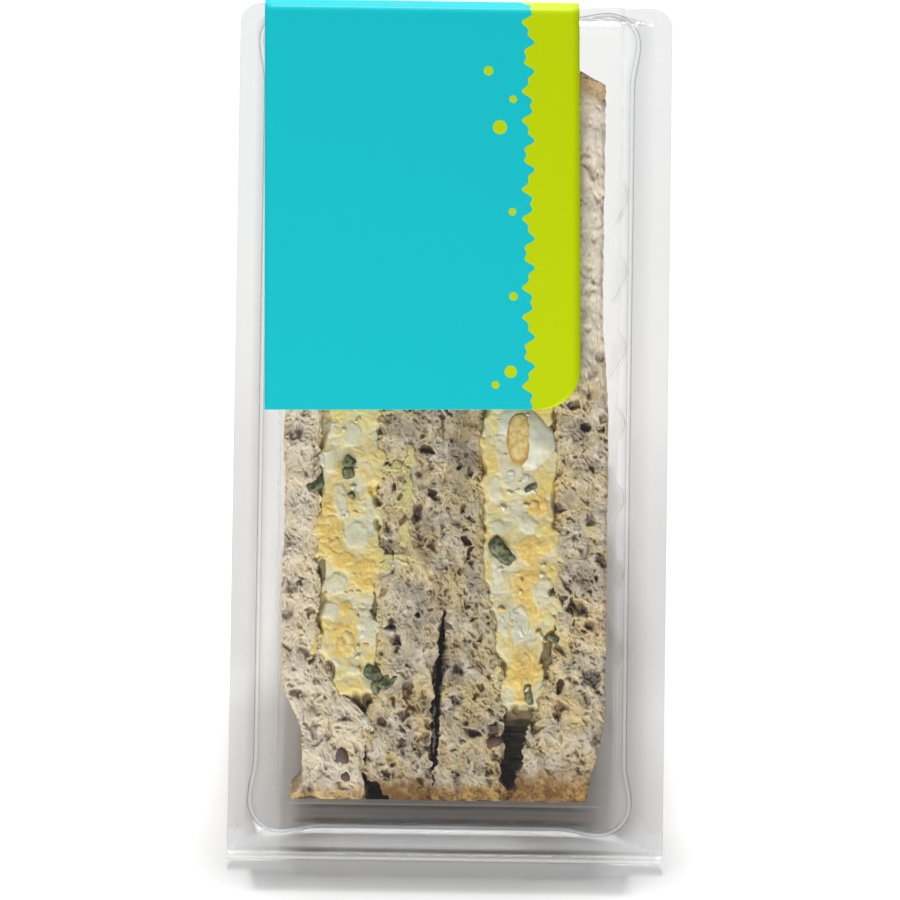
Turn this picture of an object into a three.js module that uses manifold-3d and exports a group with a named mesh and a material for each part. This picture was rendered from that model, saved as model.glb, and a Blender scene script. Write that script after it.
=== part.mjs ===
// An egg salad sandwich cut into two triangular halves, side by side in a shut wedge pack of clear plastic.
// The pack is modelled in the frame of its sloping front: x across, y up the slope, z out of the front.
// One group then leans the front back until the pack stands on its front lip and the flat at its apex.
// Every length is in millimetres.

import * as THREE from 'three';
import Module from 'manifold-3d';
import { mergeVertices } from 'three/addons/utils/BufferGeometryUtils.js';

const wasm = await Module();
wasm.setup();

// Front flange, shared by tray and lid
const FLANGE_HALF_WIDTH = 46;
const FLANGE_HEIGHT = 182;
const FLANGE_TOP_RADIUS = 4.5;
const FLANGE_BOTTOM_RADIUS = 0.8;

// Tray: a wedge with two square legs, open towards the front
const TRAY_WALL = 0.5;
const OPENING = { left: -35.9, right: 35.1, bottom: 12.2, top: 176.9 };
const TRAY_CORNER_RADIUS = 3;
const TRAY_FLANGE_BOTTOM = 3.1;
const APEX_FLAT_START = 84;
const APEX_RADIUS = 5;
const ABOVE_FRONT = 10;

// Flutes pressed outwards in the right-hand side wall
const FLUTE_COUNT = 7;
const FLUTE_PITCH = 16.1;
const FLUTE_FIRST = 45.1;
const FLUTE_RADIUS = 4.45;
const FLUTE_DEPTH = 1.7;
const FLUTE_END_MARGIN = 6;
const FLUTE_SIDES = 24;

// Lid: a flange, a raised panel whose corners swell outwards, and a lip along the bottom edge
const LID_WALL = 0.45;
const LID_GAP = 0.3;
const PANEL = { left: -40.8, right: 38.2, bottom: 7, top: 179.6 };
const PANEL_RISE = 3.6;
const PANEL_CORNER_RADIUS = 7;
const PANEL_SWELL = 1.6;
const PANEL_SWELL_BLEND = 9;
const LIP_WIDTH = 2.6;
const LIP_END = -1.2;

// Label: stuck on the panel, folded over the top edge and down the back
const LABEL = { left: -39.4, right: 27.3, bottom: 95.5 };
const LABEL_THICKNESS = 0.25;
const LABEL_SLANT = 0.0152;
const LABEL_CORNER_RADIUS = 8.5;
const LABEL_BACK_LENGTH = 26;
const LABEL_EDGE_GAP = 0.6;
const LABEL_LANDING = 9.5;

// Bread: square slices cut corner to corner
const BREAD_BOTTOM = 12.7;
const BREAD_TOP = 168.6;
const BREAD_FACE = 1.6;
const BREAD_TIP_RADIUS = 5;
const BREAD_APEX_RADIUS = 10;
const BREAD_MIDDLE = (BREAD_BOTTOM + BREAD_TOP) / 2;
const CRUMB_RELIEF = 0.35;
const WOBBLE = 0.15;

// Layer faces across the pack: x at the crusts, x at mid slice, and where the change starts and ends,
// as a distance in from the crust. The upper half of the last slice has values of its own.
const FACES = {
  bread1Left: { crust: -30.4, middle: -35.1, start: 10.5, end: 19.5, wave: 0 },
  bread1Right: { crust: -17.6, middle: -27.4, start: 8, end: 26, wave: 1 },
  bread2Left: { crust: -16.9, middle: -15.1, start: 8, end: 20, wave: 2 },
  bread2Right: { crust: -3.2, middle: -1.15, start: 2, end: 32, wave: 3 },
  bread3Left: { crust: -2.6, middle: -0.75, start: 2, end: 32, wave: 3 },
  bread3Right: { crust: 12, middle: 6.8, start: 16, end: 44, wave: 4 },
  bread4Left: { crust: 14.7, middle: 22.4, start: 2, end: 27, wave: 5 },
  bread4Right: { crust: 29.2, upperCrust: 31.9, middle: 33.4, upperMiddle: 31.9, start: -2, end: 16, wave: 6 },
};
const UPPER_HALF = { start: 92, blend: 26 };
const SLICES = [
  [FACES.bread1Left, FACES.bread1Right],
  [FACES.bread2Left, FACES.bread2Right],
  [FACES.bread3Left, FACES.bread3Right],
  [FACES.bread4Left, FACES.bread4Right],
];
const CRUST_FLARE = { width: 2.7, centre: 1.6, reach: 1.5, fadesFrom: 16, fade: 4 };

// Egg filling: starts this far in from the crusts and stands a little proud of the bread
const FILLING_INSET = { left: 10.5, right: 13.5 };
const FILLING_GAP = 0.3;
const ROOM_OVERLAP = 0.4;
const FILLING_FACE = 1.9;
const FRONT_LIMIT = 3.5;

const COLOURS = {
  plastic: 0xe6e8e8,
  label: 0x1dc4cd,
  crumb: 0xb5a588,
  filling: 0xe0cd8e,
  white: 0xdfe0d2,
  yolk: 0xe2b765,
};

// A small seeded random source, the same draws on every run
function seededRandom(seed) {
  let state = seed;
  return () => {
    state = (state * 1664525 + 1013904223) % 4294967296;
    return state / 4294967296;
  };
}

function smoothstep(value) {
  const t = THREE.MathUtils.clamp(value, 0, 1);
  return t * t * (3 - 2 * t);
}

// A closed geometry as a solid for joining and cutting
function solidOf(geometry) {
  const plain = geometry.clone();
  plain.deleteAttribute('normal');
  plain.deleteAttribute('uv');
  const merged = mergeVertices(plain, 1e-4);
  const vertProperties = new Float32Array(merged.attributes.position.array);
  const triVerts = new Uint32Array(merged.index.array);
  return new wasm.Manifold(new wasm.Mesh({ numProp: 3, vertProperties, triVerts }));
}

function geometryOf(solid) {
  const mesh = solid.getMesh();
  const geometry = new THREE.BufferGeometry();
  geometry.setAttribute('position', new THREE.BufferAttribute(new Float32Array(mesh.vertProperties), 3));
  geometry.setIndex(new THREE.BufferAttribute(new Uint32Array(mesh.triVerts), 1));
  geometry.computeVertexNormals();
  return geometry;
}

// The largest body of a solid, without the scraps that cutting leaves
function mainBody(solid) {
  return solid.decompose().reduce((best, body) => (body.volume() > best.volume() ? body : best));
}

function mesh(name, geometry, colour, roughness, opacity = 1) {
  const material = new THREE.MeshStandardMaterial({ color: colour, roughness, metalness: 0 });
  material.opacity = opacity;
  material.transparent = opacity < 1;
  const part = new THREE.Mesh(geometry, material);
  part.name = name;
  return part;
}

// A finely divided box whose corners are moved: place(u, v, w, point) gets fractions 0 to 1 of its sides
function shapedBox(uSteps, vSteps, wSteps, place) {
  const geometry = new THREE.BoxGeometry(1, 1, 1, uSteps, vSteps, wSteps);
  const position = geometry.attributes.position;
  const point = new THREE.Vector3();
  for (let i = 0; i < position.count; i++) {
    point.fromBufferAttribute(position, i).addScalar(0.5);
    place(point.x, point.y, point.z, point);
    position.setXYZ(i, point.x, point.y, point.z);
  }
  geometry.computeVertexNormals();
  return geometry;
}

// Lean of the front: the outer base wall meets the floor where the flat at the apex starts
const OUTER_FRONT = OPENING.bottom - TRAY_WALL * Math.SQRT2;
const LEAN = Math.atan2(LIP_END - (OUTER_FRONT - APEX_FLAT_START), APEX_FLAT_START);
const SIN_LEAN = Math.sin(LEAN);
const COS_LEAN = Math.cos(LEAN);
const FLOOR_LEVEL = LIP_END * COS_LEAN;

// Turns a shape drawn in (y, z) and extruded into one that runs along x
const ALONG_X = new THREE.Matrix4().makeBasis(
  new THREE.Vector3(0, 1, 0),
  new THREE.Vector3(0, 0, 1),
  new THREE.Vector3(1, 0, 0),
);

// The tray's wedge section in (y, z), grown outwards by offset from the cavity
function wedgeShape(offset) {
  const front = OPENING.bottom - offset * Math.SQRT2;
  const back = OPENING.top + offset * Math.SQRT2;
  const floor = FLOOR_LEVEL + TRAY_WALL - offset;
  const flatStart = (floor - front * COS_LEAN) / (SIN_LEAN - COS_LEAN);
  const corner = (floor + back * COS_LEAN) / (SIN_LEAN + COS_LEAN);
  const radius = APEX_RADIUS + offset;
  const shape = new THREE.Shape();
  shape.moveTo(front - ABOVE_FRONT, ABOVE_FRONT);
  shape.lineTo(flatStart, front - flatStart);
  shape.lineTo(corner - radius * COS_LEAN, corner - back + radius * SIN_LEAN);
  const reach = radius / Math.SQRT2;
  shape.quadraticCurveTo(corner, corner - back, corner + reach, corner - back + reach);
  shape.lineTo(back + ABOVE_FRONT, ABOVE_FRONT);
  return shape;
}

function wedge(offset) {
  const rounding = TRAY_CORNER_RADIUS + offset;
  const depth = OPENING.right - OPENING.left + 2 * offset - 2 * rounding;
  const geometry = new THREE.ExtrudeGeometry(wedgeShape(offset), {
    depth,
    curveSegments: 4,
    bevelEnabled: true,
    bevelThickness: rounding,
    bevelSize: rounding,
    bevelOffset: -rounding,
    bevelSegments: 3,
  });
  geometry.translate(0, 0, OPENING.left - offset + rounding);
  geometry.applyMatrix4(ALONG_X);
  return solidOf(geometry);
}

// One flute grown outwards by offset, from the height top down to a margin above the wedge's back
function flute(y, offset, top) {
  const wedgeDepth = Math.min(y - OPENING.bottom, OPENING.top - y);
  const length = wedgeDepth - FLUTE_END_MARGIN + offset + top;
  const radius = FLUTE_RADIUS + offset;
  const geometry = new THREE.CylinderGeometry(radius, radius, length, FLUTE_SIDES);
  geometry.rotateX(Math.PI / 2);
  geometry.translate(OPENING.right + FLUTE_DEPTH - FLUTE_RADIUS, y, top - length / 2);
  return solidOf(geometry);
}

function flangePlate() {
  const shape = new THREE.Shape();
  const x = FLANGE_HALF_WIDTH;
  const r = FLANGE_TOP_RADIUS;
  const b = FLANGE_BOTTOM_RADIUS;
  shape.moveTo(-x + b, TRAY_FLANGE_BOTTOM);
  shape.lineTo(x - b, TRAY_FLANGE_BOTTOM);
  shape.absarc(x - b, TRAY_FLANGE_BOTTOM + b, b, -Math.PI / 2, 0);
  shape.absarc(x - r, FLANGE_HEIGHT - r, r, 0, Math.PI / 2);
  shape.absarc(-x + r, FLANGE_HEIGHT - r, r, Math.PI / 2, Math.PI);
  shape.absarc(-x + b, TRAY_FLANGE_BOTTOM + b, b, Math.PI, 1.5 * Math.PI);
  const depth = TRAY_WALL;
  const geometry = new THREE.ExtrudeGeometry(shape, { depth, bevelEnabled: false, curveSegments: 5 });
  geometry.translate(0, 0, -TRAY_WALL);
  return solidOf(geometry);
}

function trayGeometry() {
  const aboveFront = new THREE.BoxGeometry(4 * FLANGE_HALF_WIDTH, 2 * FLANGE_HEIGHT, 2 * ABOVE_FRONT);
  aboveFront.translate(0, FLANGE_HEIGHT / 2, ABOVE_FRONT);
  let outside = wedge(TRAY_WALL).subtract(solidOf(aboveFront)).add(flangePlate());
  let cavity = wedge(0);
  for (let i = 0; i < FLUTE_COUNT; i++) {
    const y = FLUTE_FIRST + i * FLUTE_PITCH;
    outside = outside.add(flute(y, TRAY_WALL, 0));
    cavity = cavity.add(flute(y, 0, 1));
  }
  return geometryOf(outside.subtract(cavity));
}

// A closed outline, counterclockwise from its bottom right corner. Each corner is an arc that stands
// out by swell, and eases back to the straight side over the blend length.
const CORNER_STEPS = 4;
const BLEND_STEPS = 3;

function swollenOutline(sides, radius, swell, inset) {
  const left = sides.left + inset;
  const right = sides.right - inset;
  const bottom = sides.bottom + inset;
  const top = sides.top - inset;
  const round = Math.max(radius - inset, 0.05);
  const corners = [
    { x: right, y: bottom, sx: 1, sy: -1, start: -Math.PI / 2 },
    { x: right, y: top, sx: 1, sy: 1, start: 0 },
    { x: left, y: top, sx: -1, sy: 1, start: Math.PI / 2 },
    { x: left, y: bottom, sx: -1, sy: -1, start: Math.PI },
  ];
  const points = [];
  corners.forEach((corner, index) => {
    const centreX = corner.x + corner.sx * (swell - round);
    const centreY = corner.y + corner.sy * (swell - round);
    const along = index % 2 === 0 ? new THREE.Vector2(0, -corner.sy) : new THREE.Vector2(-corner.sx, 0);
    const outward = index % 2 === 0 ? new THREE.Vector2(corner.sx, 0) : new THREE.Vector2(0, corner.sy);
    const before = index % 2 === 0 ? new THREE.Vector2(-corner.sx, 0) : new THREE.Vector2(0, -corner.sy);
    const beforeOutward = index % 2 === 0 ? new THREE.Vector2(0, corner.sy) : new THREE.Vector2(corner.sx, 0);
    const base = new THREE.Vector2(corner.x, corner.y);
    const side = (direction, normal, step) => {
      const distance = round - swell + (PANEL_SWELL_BLEND * step) / BLEND_STEPS;
      const offset = swell * (1 - smoothstep(step / BLEND_STEPS));
      return base.clone().addScaledVector(direction, distance).addScaledVector(normal, offset);
    };
    for (let step = BLEND_STEPS; step >= 1; step--) {
      points.push(side(before, beforeOutward, step));
    }
    for (let step = 0; step <= CORNER_STEPS; step++) {
      const angle = corner.start + (step / CORNER_STEPS) * (Math.PI / 2);
      points.push(new THREE.Vector2(centreX + round * Math.cos(angle), centreY + round * Math.sin(angle)));
    }
    for (let step = 1; step <= BLEND_STEPS; step++) {
      points.push(side(along, outward, step));
    }
  });
  return points;
}

// The flange's outline with as many points as the panel's
function flangeOutline(inset) {
  const sides = { left: -FLANGE_HALF_WIDTH, right: FLANGE_HALF_WIDTH, bottom: 0, top: FLANGE_HEIGHT };
  const outline = swollenOutline(sides, FLANGE_TOP_RADIUS, 0, inset);
  const square = swollenOutline(sides, FLANGE_BOTTOM_RADIUS, 0, inset);
  return outline.map((point, index) => (point.y < FLANGE_HEIGHT / 2 ? square[index] : point));
}

// How far the lip has curled back at a height y above the bottom edge, from 0 to 1
function lipCurl(y) {
  const reach = THREE.MathUtils.clamp((LIP_WIDTH - y) / LIP_WIDTH, 0, 1);
  return 1 - Math.sqrt(1 - reach * reach);
}

// Steps of the panel's edge: distance in from its foot, and height
const PANEL_EDGE = [
  [0, 0],
  [0.18, 0.2],
  [0.32, 0.7],
  [0.75, PANEL_RISE - 0.7],
  [0.95, PANEL_RISE - 0.25],
  [1.35, PANEL_RISE],
];
const LIP_INSETS = [0, 0.3, 1, LIP_WIDTH];

// Rings of the lid from the middle of its underside, round the edge, to the middle of its front
function lidRings() {
  const outerLevel = LID_GAP + LID_WALL;
  const flangeRing = (inset, underside) => {
    const reference = flangeOutline(inset);
    const outline = underside ? flangeOutline(inset + LID_WALL) : reference;
    const level = underside ? LID_GAP : outerLevel;
    return outline.map((point, index) => {
      const curl = lipCurl(reference[index].y);
      return new THREE.Vector3(point.x, point.y, THREE.MathUtils.lerp(level, LIP_END, curl));
    });
  };
  const panelRing = (step, underside) => {
    const inset = step[0] + (underside ? LID_WALL : 0);
    const level = step[1] + (underside ? LID_GAP : outerLevel);
    const outline = swollenOutline(PANEL, PANEL_CORNER_RADIUS, PANEL_SWELL, inset);
    return outline.map((point) => new THREE.Vector3(point.x, point.y, level));
  };
  const middle = (level) => {
    const x = (PANEL.left + PANEL.right) / 2;
    const y = (PANEL.bottom + PANEL.top) / 2;
    return flangeOutline(0).map(() => new THREE.Vector3(x, y, level));
  };
  return [
    middle(PANEL_RISE + LID_GAP),
    ...PANEL_EDGE.toReversed().map((step) => panelRing(step, true)),
    ...LIP_INSETS.toReversed().map((inset) => flangeRing(inset, true)),
    ...LIP_INSETS.map((inset) => flangeRing(inset, false)),
    ...PANEL_EDGE.map((step) => panelRing(step, false)),
    middle(PANEL_RISE + outerLevel),
  ];
}

// A turned solid whose rings are then moved to the given ones
function ringedGeometry(rings) {
  const segments = rings[0].length;
  const last = rings.length - 1;
  const profile = rings.map((ring, index) => new THREE.Vector2(index === 0 || index === last ? 0 : 1, index));
  const geometry = new THREE.LatheGeometry(profile, segments);
  const position = geometry.attributes.position;
  for (let i = 0; i < position.count; i++) {
    const around = Math.floor(i / rings.length) % segments;
    const point = rings[i % rings.length][around];
    position.setXYZ(i, point.x, point.y, point.z);
  }
  geometry.computeVertexNormals();
  return geometry;
}

// The label's path in (y, z), from its bottom edge up the panel, over the top edge with a small gap,
// and straight to where it lands on the back wall
function labelPath() {
  const front = LID_GAP + LID_WALL + PANEL_RISE + LID_GAP;
  const topEdge = FLANGE_HEIGHT + LABEL_EDGE_GAP;
  const backWall = OPENING.top + TRAY_WALL * Math.SQRT2 + LID_GAP * Math.SQRT2;
  const landing = backWall - LABEL_LANDING;
  const drop = LABEL_BACK_LENGTH / Math.SQRT2;
  const path = new THREE.Path();
  path.moveTo(LABEL.bottom, front);
  path.lineTo(PANEL.top + 0.4, front);
  path.quadraticCurveTo(PANEL.top + 1, front, PANEL.top + 1.3, front - 0.6);
  path.lineTo(topEdge - 0.3, 1.5);
  path.quadraticCurveTo(topEdge, 1, topEdge, 0.4);
  path.lineTo(topEdge, -0.6);
  path.quadraticCurveTo(topEdge, -1.2, topEdge - 1, -1.9);
  path.lineTo(landing + 1, landing - backWall + 0.8);
  path.quadraticCurveTo(landing, landing - backWall, landing - 1, landing - backWall - 1);
  path.lineTo(landing - drop, landing - backWall - drop);
  return path;
}

// Fractions of the path's length where the label has a row of corners, close together at the bends
const LABEL_STATIONS = [0, 0.004, 0.012, 0.026, 0.045, 0.065, 0.35, 0.62, 0.635, 0.645, 0.655, 0.665, 0.672,
  0.682, 0.692, 0.705, 0.79, 0.8, 0.81, 1];

function labelGeometry() {
  const path = labelPath();
  const steps = LABEL_STATIONS.length - 1;
  return shapedBox(4, steps, 1, (u, v, w, point) => {
    const station = LABEL_STATIONS[Math.round(v * steps)];
    const centre = path.getPointAt(station);
    const along = path.getTangentAt(station);
    const distance = station * path.getLength();
    const short = Math.max(LABEL_CORNER_RADIUS - distance, 0);
    const cornerCut = LABEL_CORNER_RADIUS - Math.sqrt(LABEL_CORNER_RADIUS ** 2 - short ** 2);
    const frontLength = FLANGE_HEIGHT - LABEL.bottom;
    const straightX = THREE.MathUtils.lerp(LABEL.left, LABEL.right - cornerCut, u);
    const x = straightX - LABEL_SLANT * Math.min(distance, frontLength);
    const straightened = Math.max(1 - distance / frontLength, 0);
    const rise = LABEL_SLANT * (straightX - (LABEL.left + LABEL.right) / 2) * straightened;
    const lift = w * LABEL_THICKNESS;
    point.set(x, centre.x + rise - along.y * lift, centre.y + along.x * lift);
  });
}

// Lower edge of a bread slice in (y, z): round tips, straight crusts and a round corner between them
function crustLine(y) {
  const mirrored = y > BREAD_MIDDLE ? BREAD_BOTTOM + BREAD_TOP - y : y;
  const tipCentre = tipStart() + BREAD_TIP_RADIUS;
  const tipEnd = tipCentre - BREAD_TIP_RADIUS / Math.SQRT2;
  const cornerStart = BREAD_MIDDLE - BREAD_APEX_RADIUS / Math.SQRT2;
  if (mirrored < tipEnd) {
    return BREAD_FACE - Math.sqrt(Math.max(BREAD_TIP_RADIUS ** 2 - (tipCentre - mirrored) ** 2, 0));
  }
  if (mirrored < cornerStart) {
    return BREAD_BOTTOM - mirrored;
  }
  const centreLevel = BREAD_BOTTOM - BREAD_MIDDLE + BREAD_APEX_RADIUS * Math.SQRT2;
  return centreLevel - Math.sqrt(BREAD_APEX_RADIUS ** 2 - (BREAD_MIDDLE - mirrored) ** 2);
}

// Where the cut face starts: the round tip stands back from the corner that the crusts would make
function tipStart() {
  return BREAD_BOTTOM - BREAD_FACE + BREAD_TIP_RADIUS * (Math.SQRT2 - 1);
}

// Distance in from the nearer crust
function crustDistance(y, z) {
  const fromBottom = (y - BREAD_BOTTOM + z) / Math.SQRT2;
  const fromTop = (BREAD_TOP - y + z) / Math.SQRT2;
  return Math.min(fromBottom, fromTop);
}

function wave(index, y, z) {
  return WOBBLE * Math.sin(0.19 * y + 2.1 * index) * Math.cos(0.13 * z + 1.3 * index);
}

// x of one face of a layer
function faceX(face, y, z) {
  const distance = crustDistance(y, z);
  const upper = smoothstep((y - UPPER_HALF.start) / UPPER_HALF.blend);
  const crust = THREE.MathUtils.lerp(face.crust, face.upperCrust ?? face.crust, upper);
  const middle = THREE.MathUtils.lerp(face.middle, face.upperMiddle ?? face.middle, upper);
  const blend = smoothstep((distance - face.start) / (face.end - face.start));
  let x = THREE.MathUtils.lerp(crust, middle, blend) + wave(face.wave, y, z);
  if (face === FACES.bread1Left) {
    const width = CRUST_FLARE.width * (1 - smoothstep((y - CRUST_FLARE.fadesFrom) / CRUST_FLARE.fade));
    x -= width * Math.exp(-(((distance - CRUST_FLARE.centre) / CRUST_FLARE.reach) ** 2));
  }
  return x;
}

// Uneven crumb on the cut face
function crumbRelief(x, y) {
  return CRUMB_RELIEF * Math.sin(0.9 * x + 0.31 * y) * Math.sin(0.47 * y - 0.6 * x);
}

// The grid that all layers share: where fractions u along the cut face and v up from the crust lie
const SLICE_STEPS = { along: 30, deep: 6, thick: 3 };
const CRUST_BIAS = 1.7;

function sliceGrid(u, v) {
  const start = tipStart();
  const end = BREAD_BOTTOM + BREAD_TOP - start;
  const y = (start + end) / 2 - ((end - start) / 2) * Math.cos(Math.PI * u);
  const bottom = Math.min(crustLine(y), BREAD_FACE - 0.4);
  return { y, z: THREE.MathUtils.lerp(bottom, BREAD_FACE, v ** CRUST_BIAS) };
}

function breadGeometry(leftFace, rightFace) {
  return shapedBox(SLICE_STEPS.along, SLICE_STEPS.deep, SLICE_STEPS.thick, (u, v, w, point) => {
    const { y, z } = sliceGrid(u, v);
    const x = THREE.MathUtils.lerp(faceX(leftFace, y, z), faceX(rightFace, y, z), w);
    const isCutFace = v === 1 && u > 0 && u < 1;
    point.set(x, y, isCutFace ? z + crumbRelief(x, y) : z);
  });
}

const sliceSolids = SLICES.map(([left, right]) => solidOf(breadGeometry(left, right)));

// An uneven lump: a faceted ball with each corner pushed in or out by a seeded draw
function lump(piece, random) {
  const geometry = mergeVertices(new THREE.IcosahedronGeometry(1, piece.detail ?? 0).deleteAttribute('normal')
    .deleteAttribute('uv'), 1e-4);
  const position = geometry.attributes.position;
  const point = new THREE.Vector3();
  for (let i = 0; i < position.count; i++) {
    point.fromBufferAttribute(position, i).multiplyScalar(0.85 + 0.3 * random());
    position.setXYZ(i, point.x, point.y, point.z);
  }
  geometry.rotateX(random() * Math.PI);
  geometry.scale(piece.size[0] / 2, piece.size[1] / 2, piece.size[2] / 2);
  geometry.rotateZ(piece.turn ?? 0);
  geometry.translate(piece.x, piece.y, piece.z ?? FILLING_FACE);
  return solidOf(geometry);
}

// A short length of chive lying on the cut face: a hollow tube seen from its side
function chive(piece) {
  const geometry = new THREE.CylinderGeometry(piece.width / 2, piece.width / 2, piece.length, 7);
  geometry.rotateZ(piece.turn);
  geometry.translate(piece.x, piece.y, FILLING_FACE + 0.2);
  return solidOf(geometry);
}

// Keeps egg between the two slices at index and index + 1, a small gap off each
function betweenSlices(solid, index) {
  const deep = SLICE_STEPS.deep;
  const room = solidOf(shapedBox(SLICE_STEPS.along, deep + 1, 1, (u, v, w, point) => {
    const row = Math.round(v * (deep + 1));
    const { y, z } = sliceGrid(u, Math.min(row / deep, 1));
    const inset = row > deep ? FILLING_GAP : -ROOM_OVERLAP;
    const left = faceX(SLICES[index][1], y, z) + inset;
    const right = faceX(SLICES[index + 1][0], y, z) - inset;
    point.set(w === 0 ? left : right, y, row > deep ? FRONT_LIMIT : z);
  }));
  const leftSlice = sliceSolids[index].translate([FILLING_GAP, 0, FILLING_GAP]);
  const rightSlice = sliceSolids[index + 1].translate([-FILLING_GAP, 0, FILLING_GAP]);
  return solid.intersect(room).subtract(leftSlice).subtract(rightSlice);
}

// The filling's own outline: the slice's, moved in from the crusts, with a lumpy front
function fillingOutline(index, inset) {
  const shift = inset * Math.SQRT2;
  const start = BREAD_BOTTOM + shift - FILLING_FACE + 1;
  const end = BREAD_BOTTOM + BREAD_TOP - start;
  const left = SLICES[index][1].middle - 1;
  const right = SLICES[index + 1][0].middle + 1;
  return solidOf(shapedBox(22, 1, 3, (u, v, w, point) => {
    const y = THREE.MathUtils.lerp(start, end, u);
    const x = THREE.MathUtils.lerp(left, right, w);
    const corner = BREAD_BOTTOM - BREAD_MIDDLE + BREAD_APEX_RADIUS;
    const bottom = Math.min(Math.max(crustLine(y), corner) + shift, FILLING_FACE - 1.2);
    const lumpy = 0.5 * Math.sin(0.8 * y + x);
    point.set(x, y, v === 0 ? bottom : FILLING_FACE + lumpy);
  }));
}

// Pieces that show at the cut, below the label. Sizes are across, along and out of the face.
const LEFT_PIECES = [
  { x: -25.2, y: 84.8, size: [4.4, 4.4, 3], turn: 0.4 },
  { x: -23, y: 75.6, size: [1.8, 4.6, 2.4], turn: -0.3 },
  { x: -19.8, y: 69.6, size: [3.6, 4.4, 3], turn: 0.5 },
  { x: -17, y: 49.6, size: [3.4, 9, 3.2], turn: 0.1 },
  { x: -25, y: 69.6, size: [4.4, 10, 3.2], turn: 0.2 },
  { x: -21.9, y: 46.6, size: [5.2, 7.4, 3.4], turn: 0.3 },
  { x: -18.3, y: 60.4, size: [4.6, 5.6, 2.8], turn: 0.9 },
  { x: -21.6, y: 91, size: [5, 6, 3], turn: 0.2 },
];
const LEFT_CHIVES = [
  { x: -21.3, y: 84, length: 4, width: 1.8, turn: 1.1 },
  { x: -18, y: 38.6, length: 4.4, width: 2, turn: 1.5 },
];
const RIGHT_PIECES = [
  { x: 11.4, y: 78.4, size: [4.6, 6.4, 3], turn: 0.7 },
  { x: 17.8, y: 76, size: [5.6, 5.2, 3.4], turn: 0.2 },
  { x: 18.6, y: 62.6, size: [5.6, 9.6, 3.6], turn: -0.1 },
  { x: 18.8, y: 54.4, size: [5, 8, 3.4], turn: 0.2 },
  { x: 12.6, y: 57, size: [4.4, 6, 3], turn: 0.4 },
  { x: 15.4, y: 48.2, size: [3.6, 8, 3], turn: -0.2 },
  { x: 16.6, y: 40.6, size: [4.6, 6, 3.2], turn: 0.3 },
  { x: 17.8, y: 69.6, size: [4.4, 5, 3], turn: 0.6 },
];
const RIGHT_CHIVES = [
  { x: 10.8, y: 66.3, length: 4, width: 2.6, turn: 0.5 },
  { x: 20.4, y: 47.6, length: 3.4, width: 1.8, turn: 0.2 },
];
const HIDDEN_LUMPS = 3;

function fillingSolid(index, inset, pieces, chives, seed) {
  const random = seededRandom(seed);
  const [leftFace, rightFace] = [SLICES[index][1], SLICES[index + 1][0]];
  let solid = fillingOutline(index, inset);
  for (const piece of pieces) {
    solid = solid.add(lump({ ...piece, detail: 1 }, random));
  }
  for (const piece of chives) {
    solid = solid.add(chive(piece));
  }
  for (let i = 0; i < HIDDEN_LUMPS; i++) {
    const y = THREE.MathUtils.lerp(LABEL.bottom + 8, BREAD_TOP - 26, (i + 0.5) / HIDDEN_LUMPS);
    const middle = (faceX(leftFace, y, BREAD_FACE) + faceX(rightFace, y, BREAD_FACE)) / 2;
    const x = middle + (random() - 0.5) * 5;
    solid = solid.add(lump({ x, y, size: [5, 6, 3.2], turn: random() * Math.PI, detail: 1 }, random));
  }
  return betweenSlices(solid, index);
}

// The largest piece of boiled egg: white with some of its yolk, at the top of the right-hand filling
const LARGE_WHITE = { x: 15.4, y: 90.2, z: 0.2, size: [11.8, 13.4, 5.6], turn: -0.5, detail: 2 };
const LARGE_YOLK = { x: 13.9, y: 90.8, z: 2.4, size: [4.2, 10, 3], turn: -0.1, detail: 1 };
const PIECE_CLEARANCE = 0.35;

function grown(piece, by) {
  return { ...piece, size: piece.size.map((side) => side + 2 * by) };
}

// Flecks of egg on the cut face of the second slice
const FLECKS = 9;
const FLECK_AREA = { left: -12.6, right: -6, bottom: 62, top: 95 };

function flecks() {
  const random = seededRandom(31);
  const pieces = [];
  for (let i = 0; i < FLECKS; i++) {
    const x = THREE.MathUtils.lerp(FLECK_AREA.left, FLECK_AREA.right, random());
    const y = THREE.MathUtils.lerp(FLECK_AREA.bottom, FLECK_AREA.top, (i + random()) / FLECKS);
    const size = [1.6 + random(), 2 + 1.6 * random(), 1.4];
    pieces.push(lump({ x, y, z: BREAD_FACE + crumbRelief(x, y), size, turn: random() * Math.PI }, random));
  }
  return pieces;
}

const pack = new THREE.Group();
pack.add(mesh('tray', trayGeometry(), COLOURS.plastic, 0.08, 0.3));
pack.add(mesh('lid', ringedGeometry(lidRings()), COLOURS.plastic, 0.06, 0.3));
pack.add(mesh('label', labelGeometry(), COLOURS.label, 0.35));

sliceSolids.forEach((slice, index) => {
  const solid = index === 1 ? flecks().reduce((joined, fleck) => joined.add(fleck), slice) : slice;
  pack.add(mesh(`bread_${index + 1}`, geometryOf(solid), COLOURS.crumb, 0.9));
});

const yolkRoom = lump(grown(LARGE_YOLK, PIECE_CLEARANCE), seededRandom(7));
const whiteRoom = lump(grown(LARGE_WHITE, PIECE_CLEARANCE), seededRandom(5));
const leftFilling = fillingSolid(0, FILLING_INSET.left, LEFT_PIECES, LEFT_CHIVES, 11);
const rightFilling = fillingSolid(2, FILLING_INSET.right, RIGHT_PIECES, RIGHT_CHIVES, 23)
  .subtract(whiteRoom)
  .subtract(yolkRoom);
const largeYolk = betweenSlices(lump(LARGE_YOLK, seededRandom(7)), 2);
const largeWhite = betweenSlices(lump(LARGE_WHITE, seededRandom(5)), 2).subtract(yolkRoom);

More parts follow.
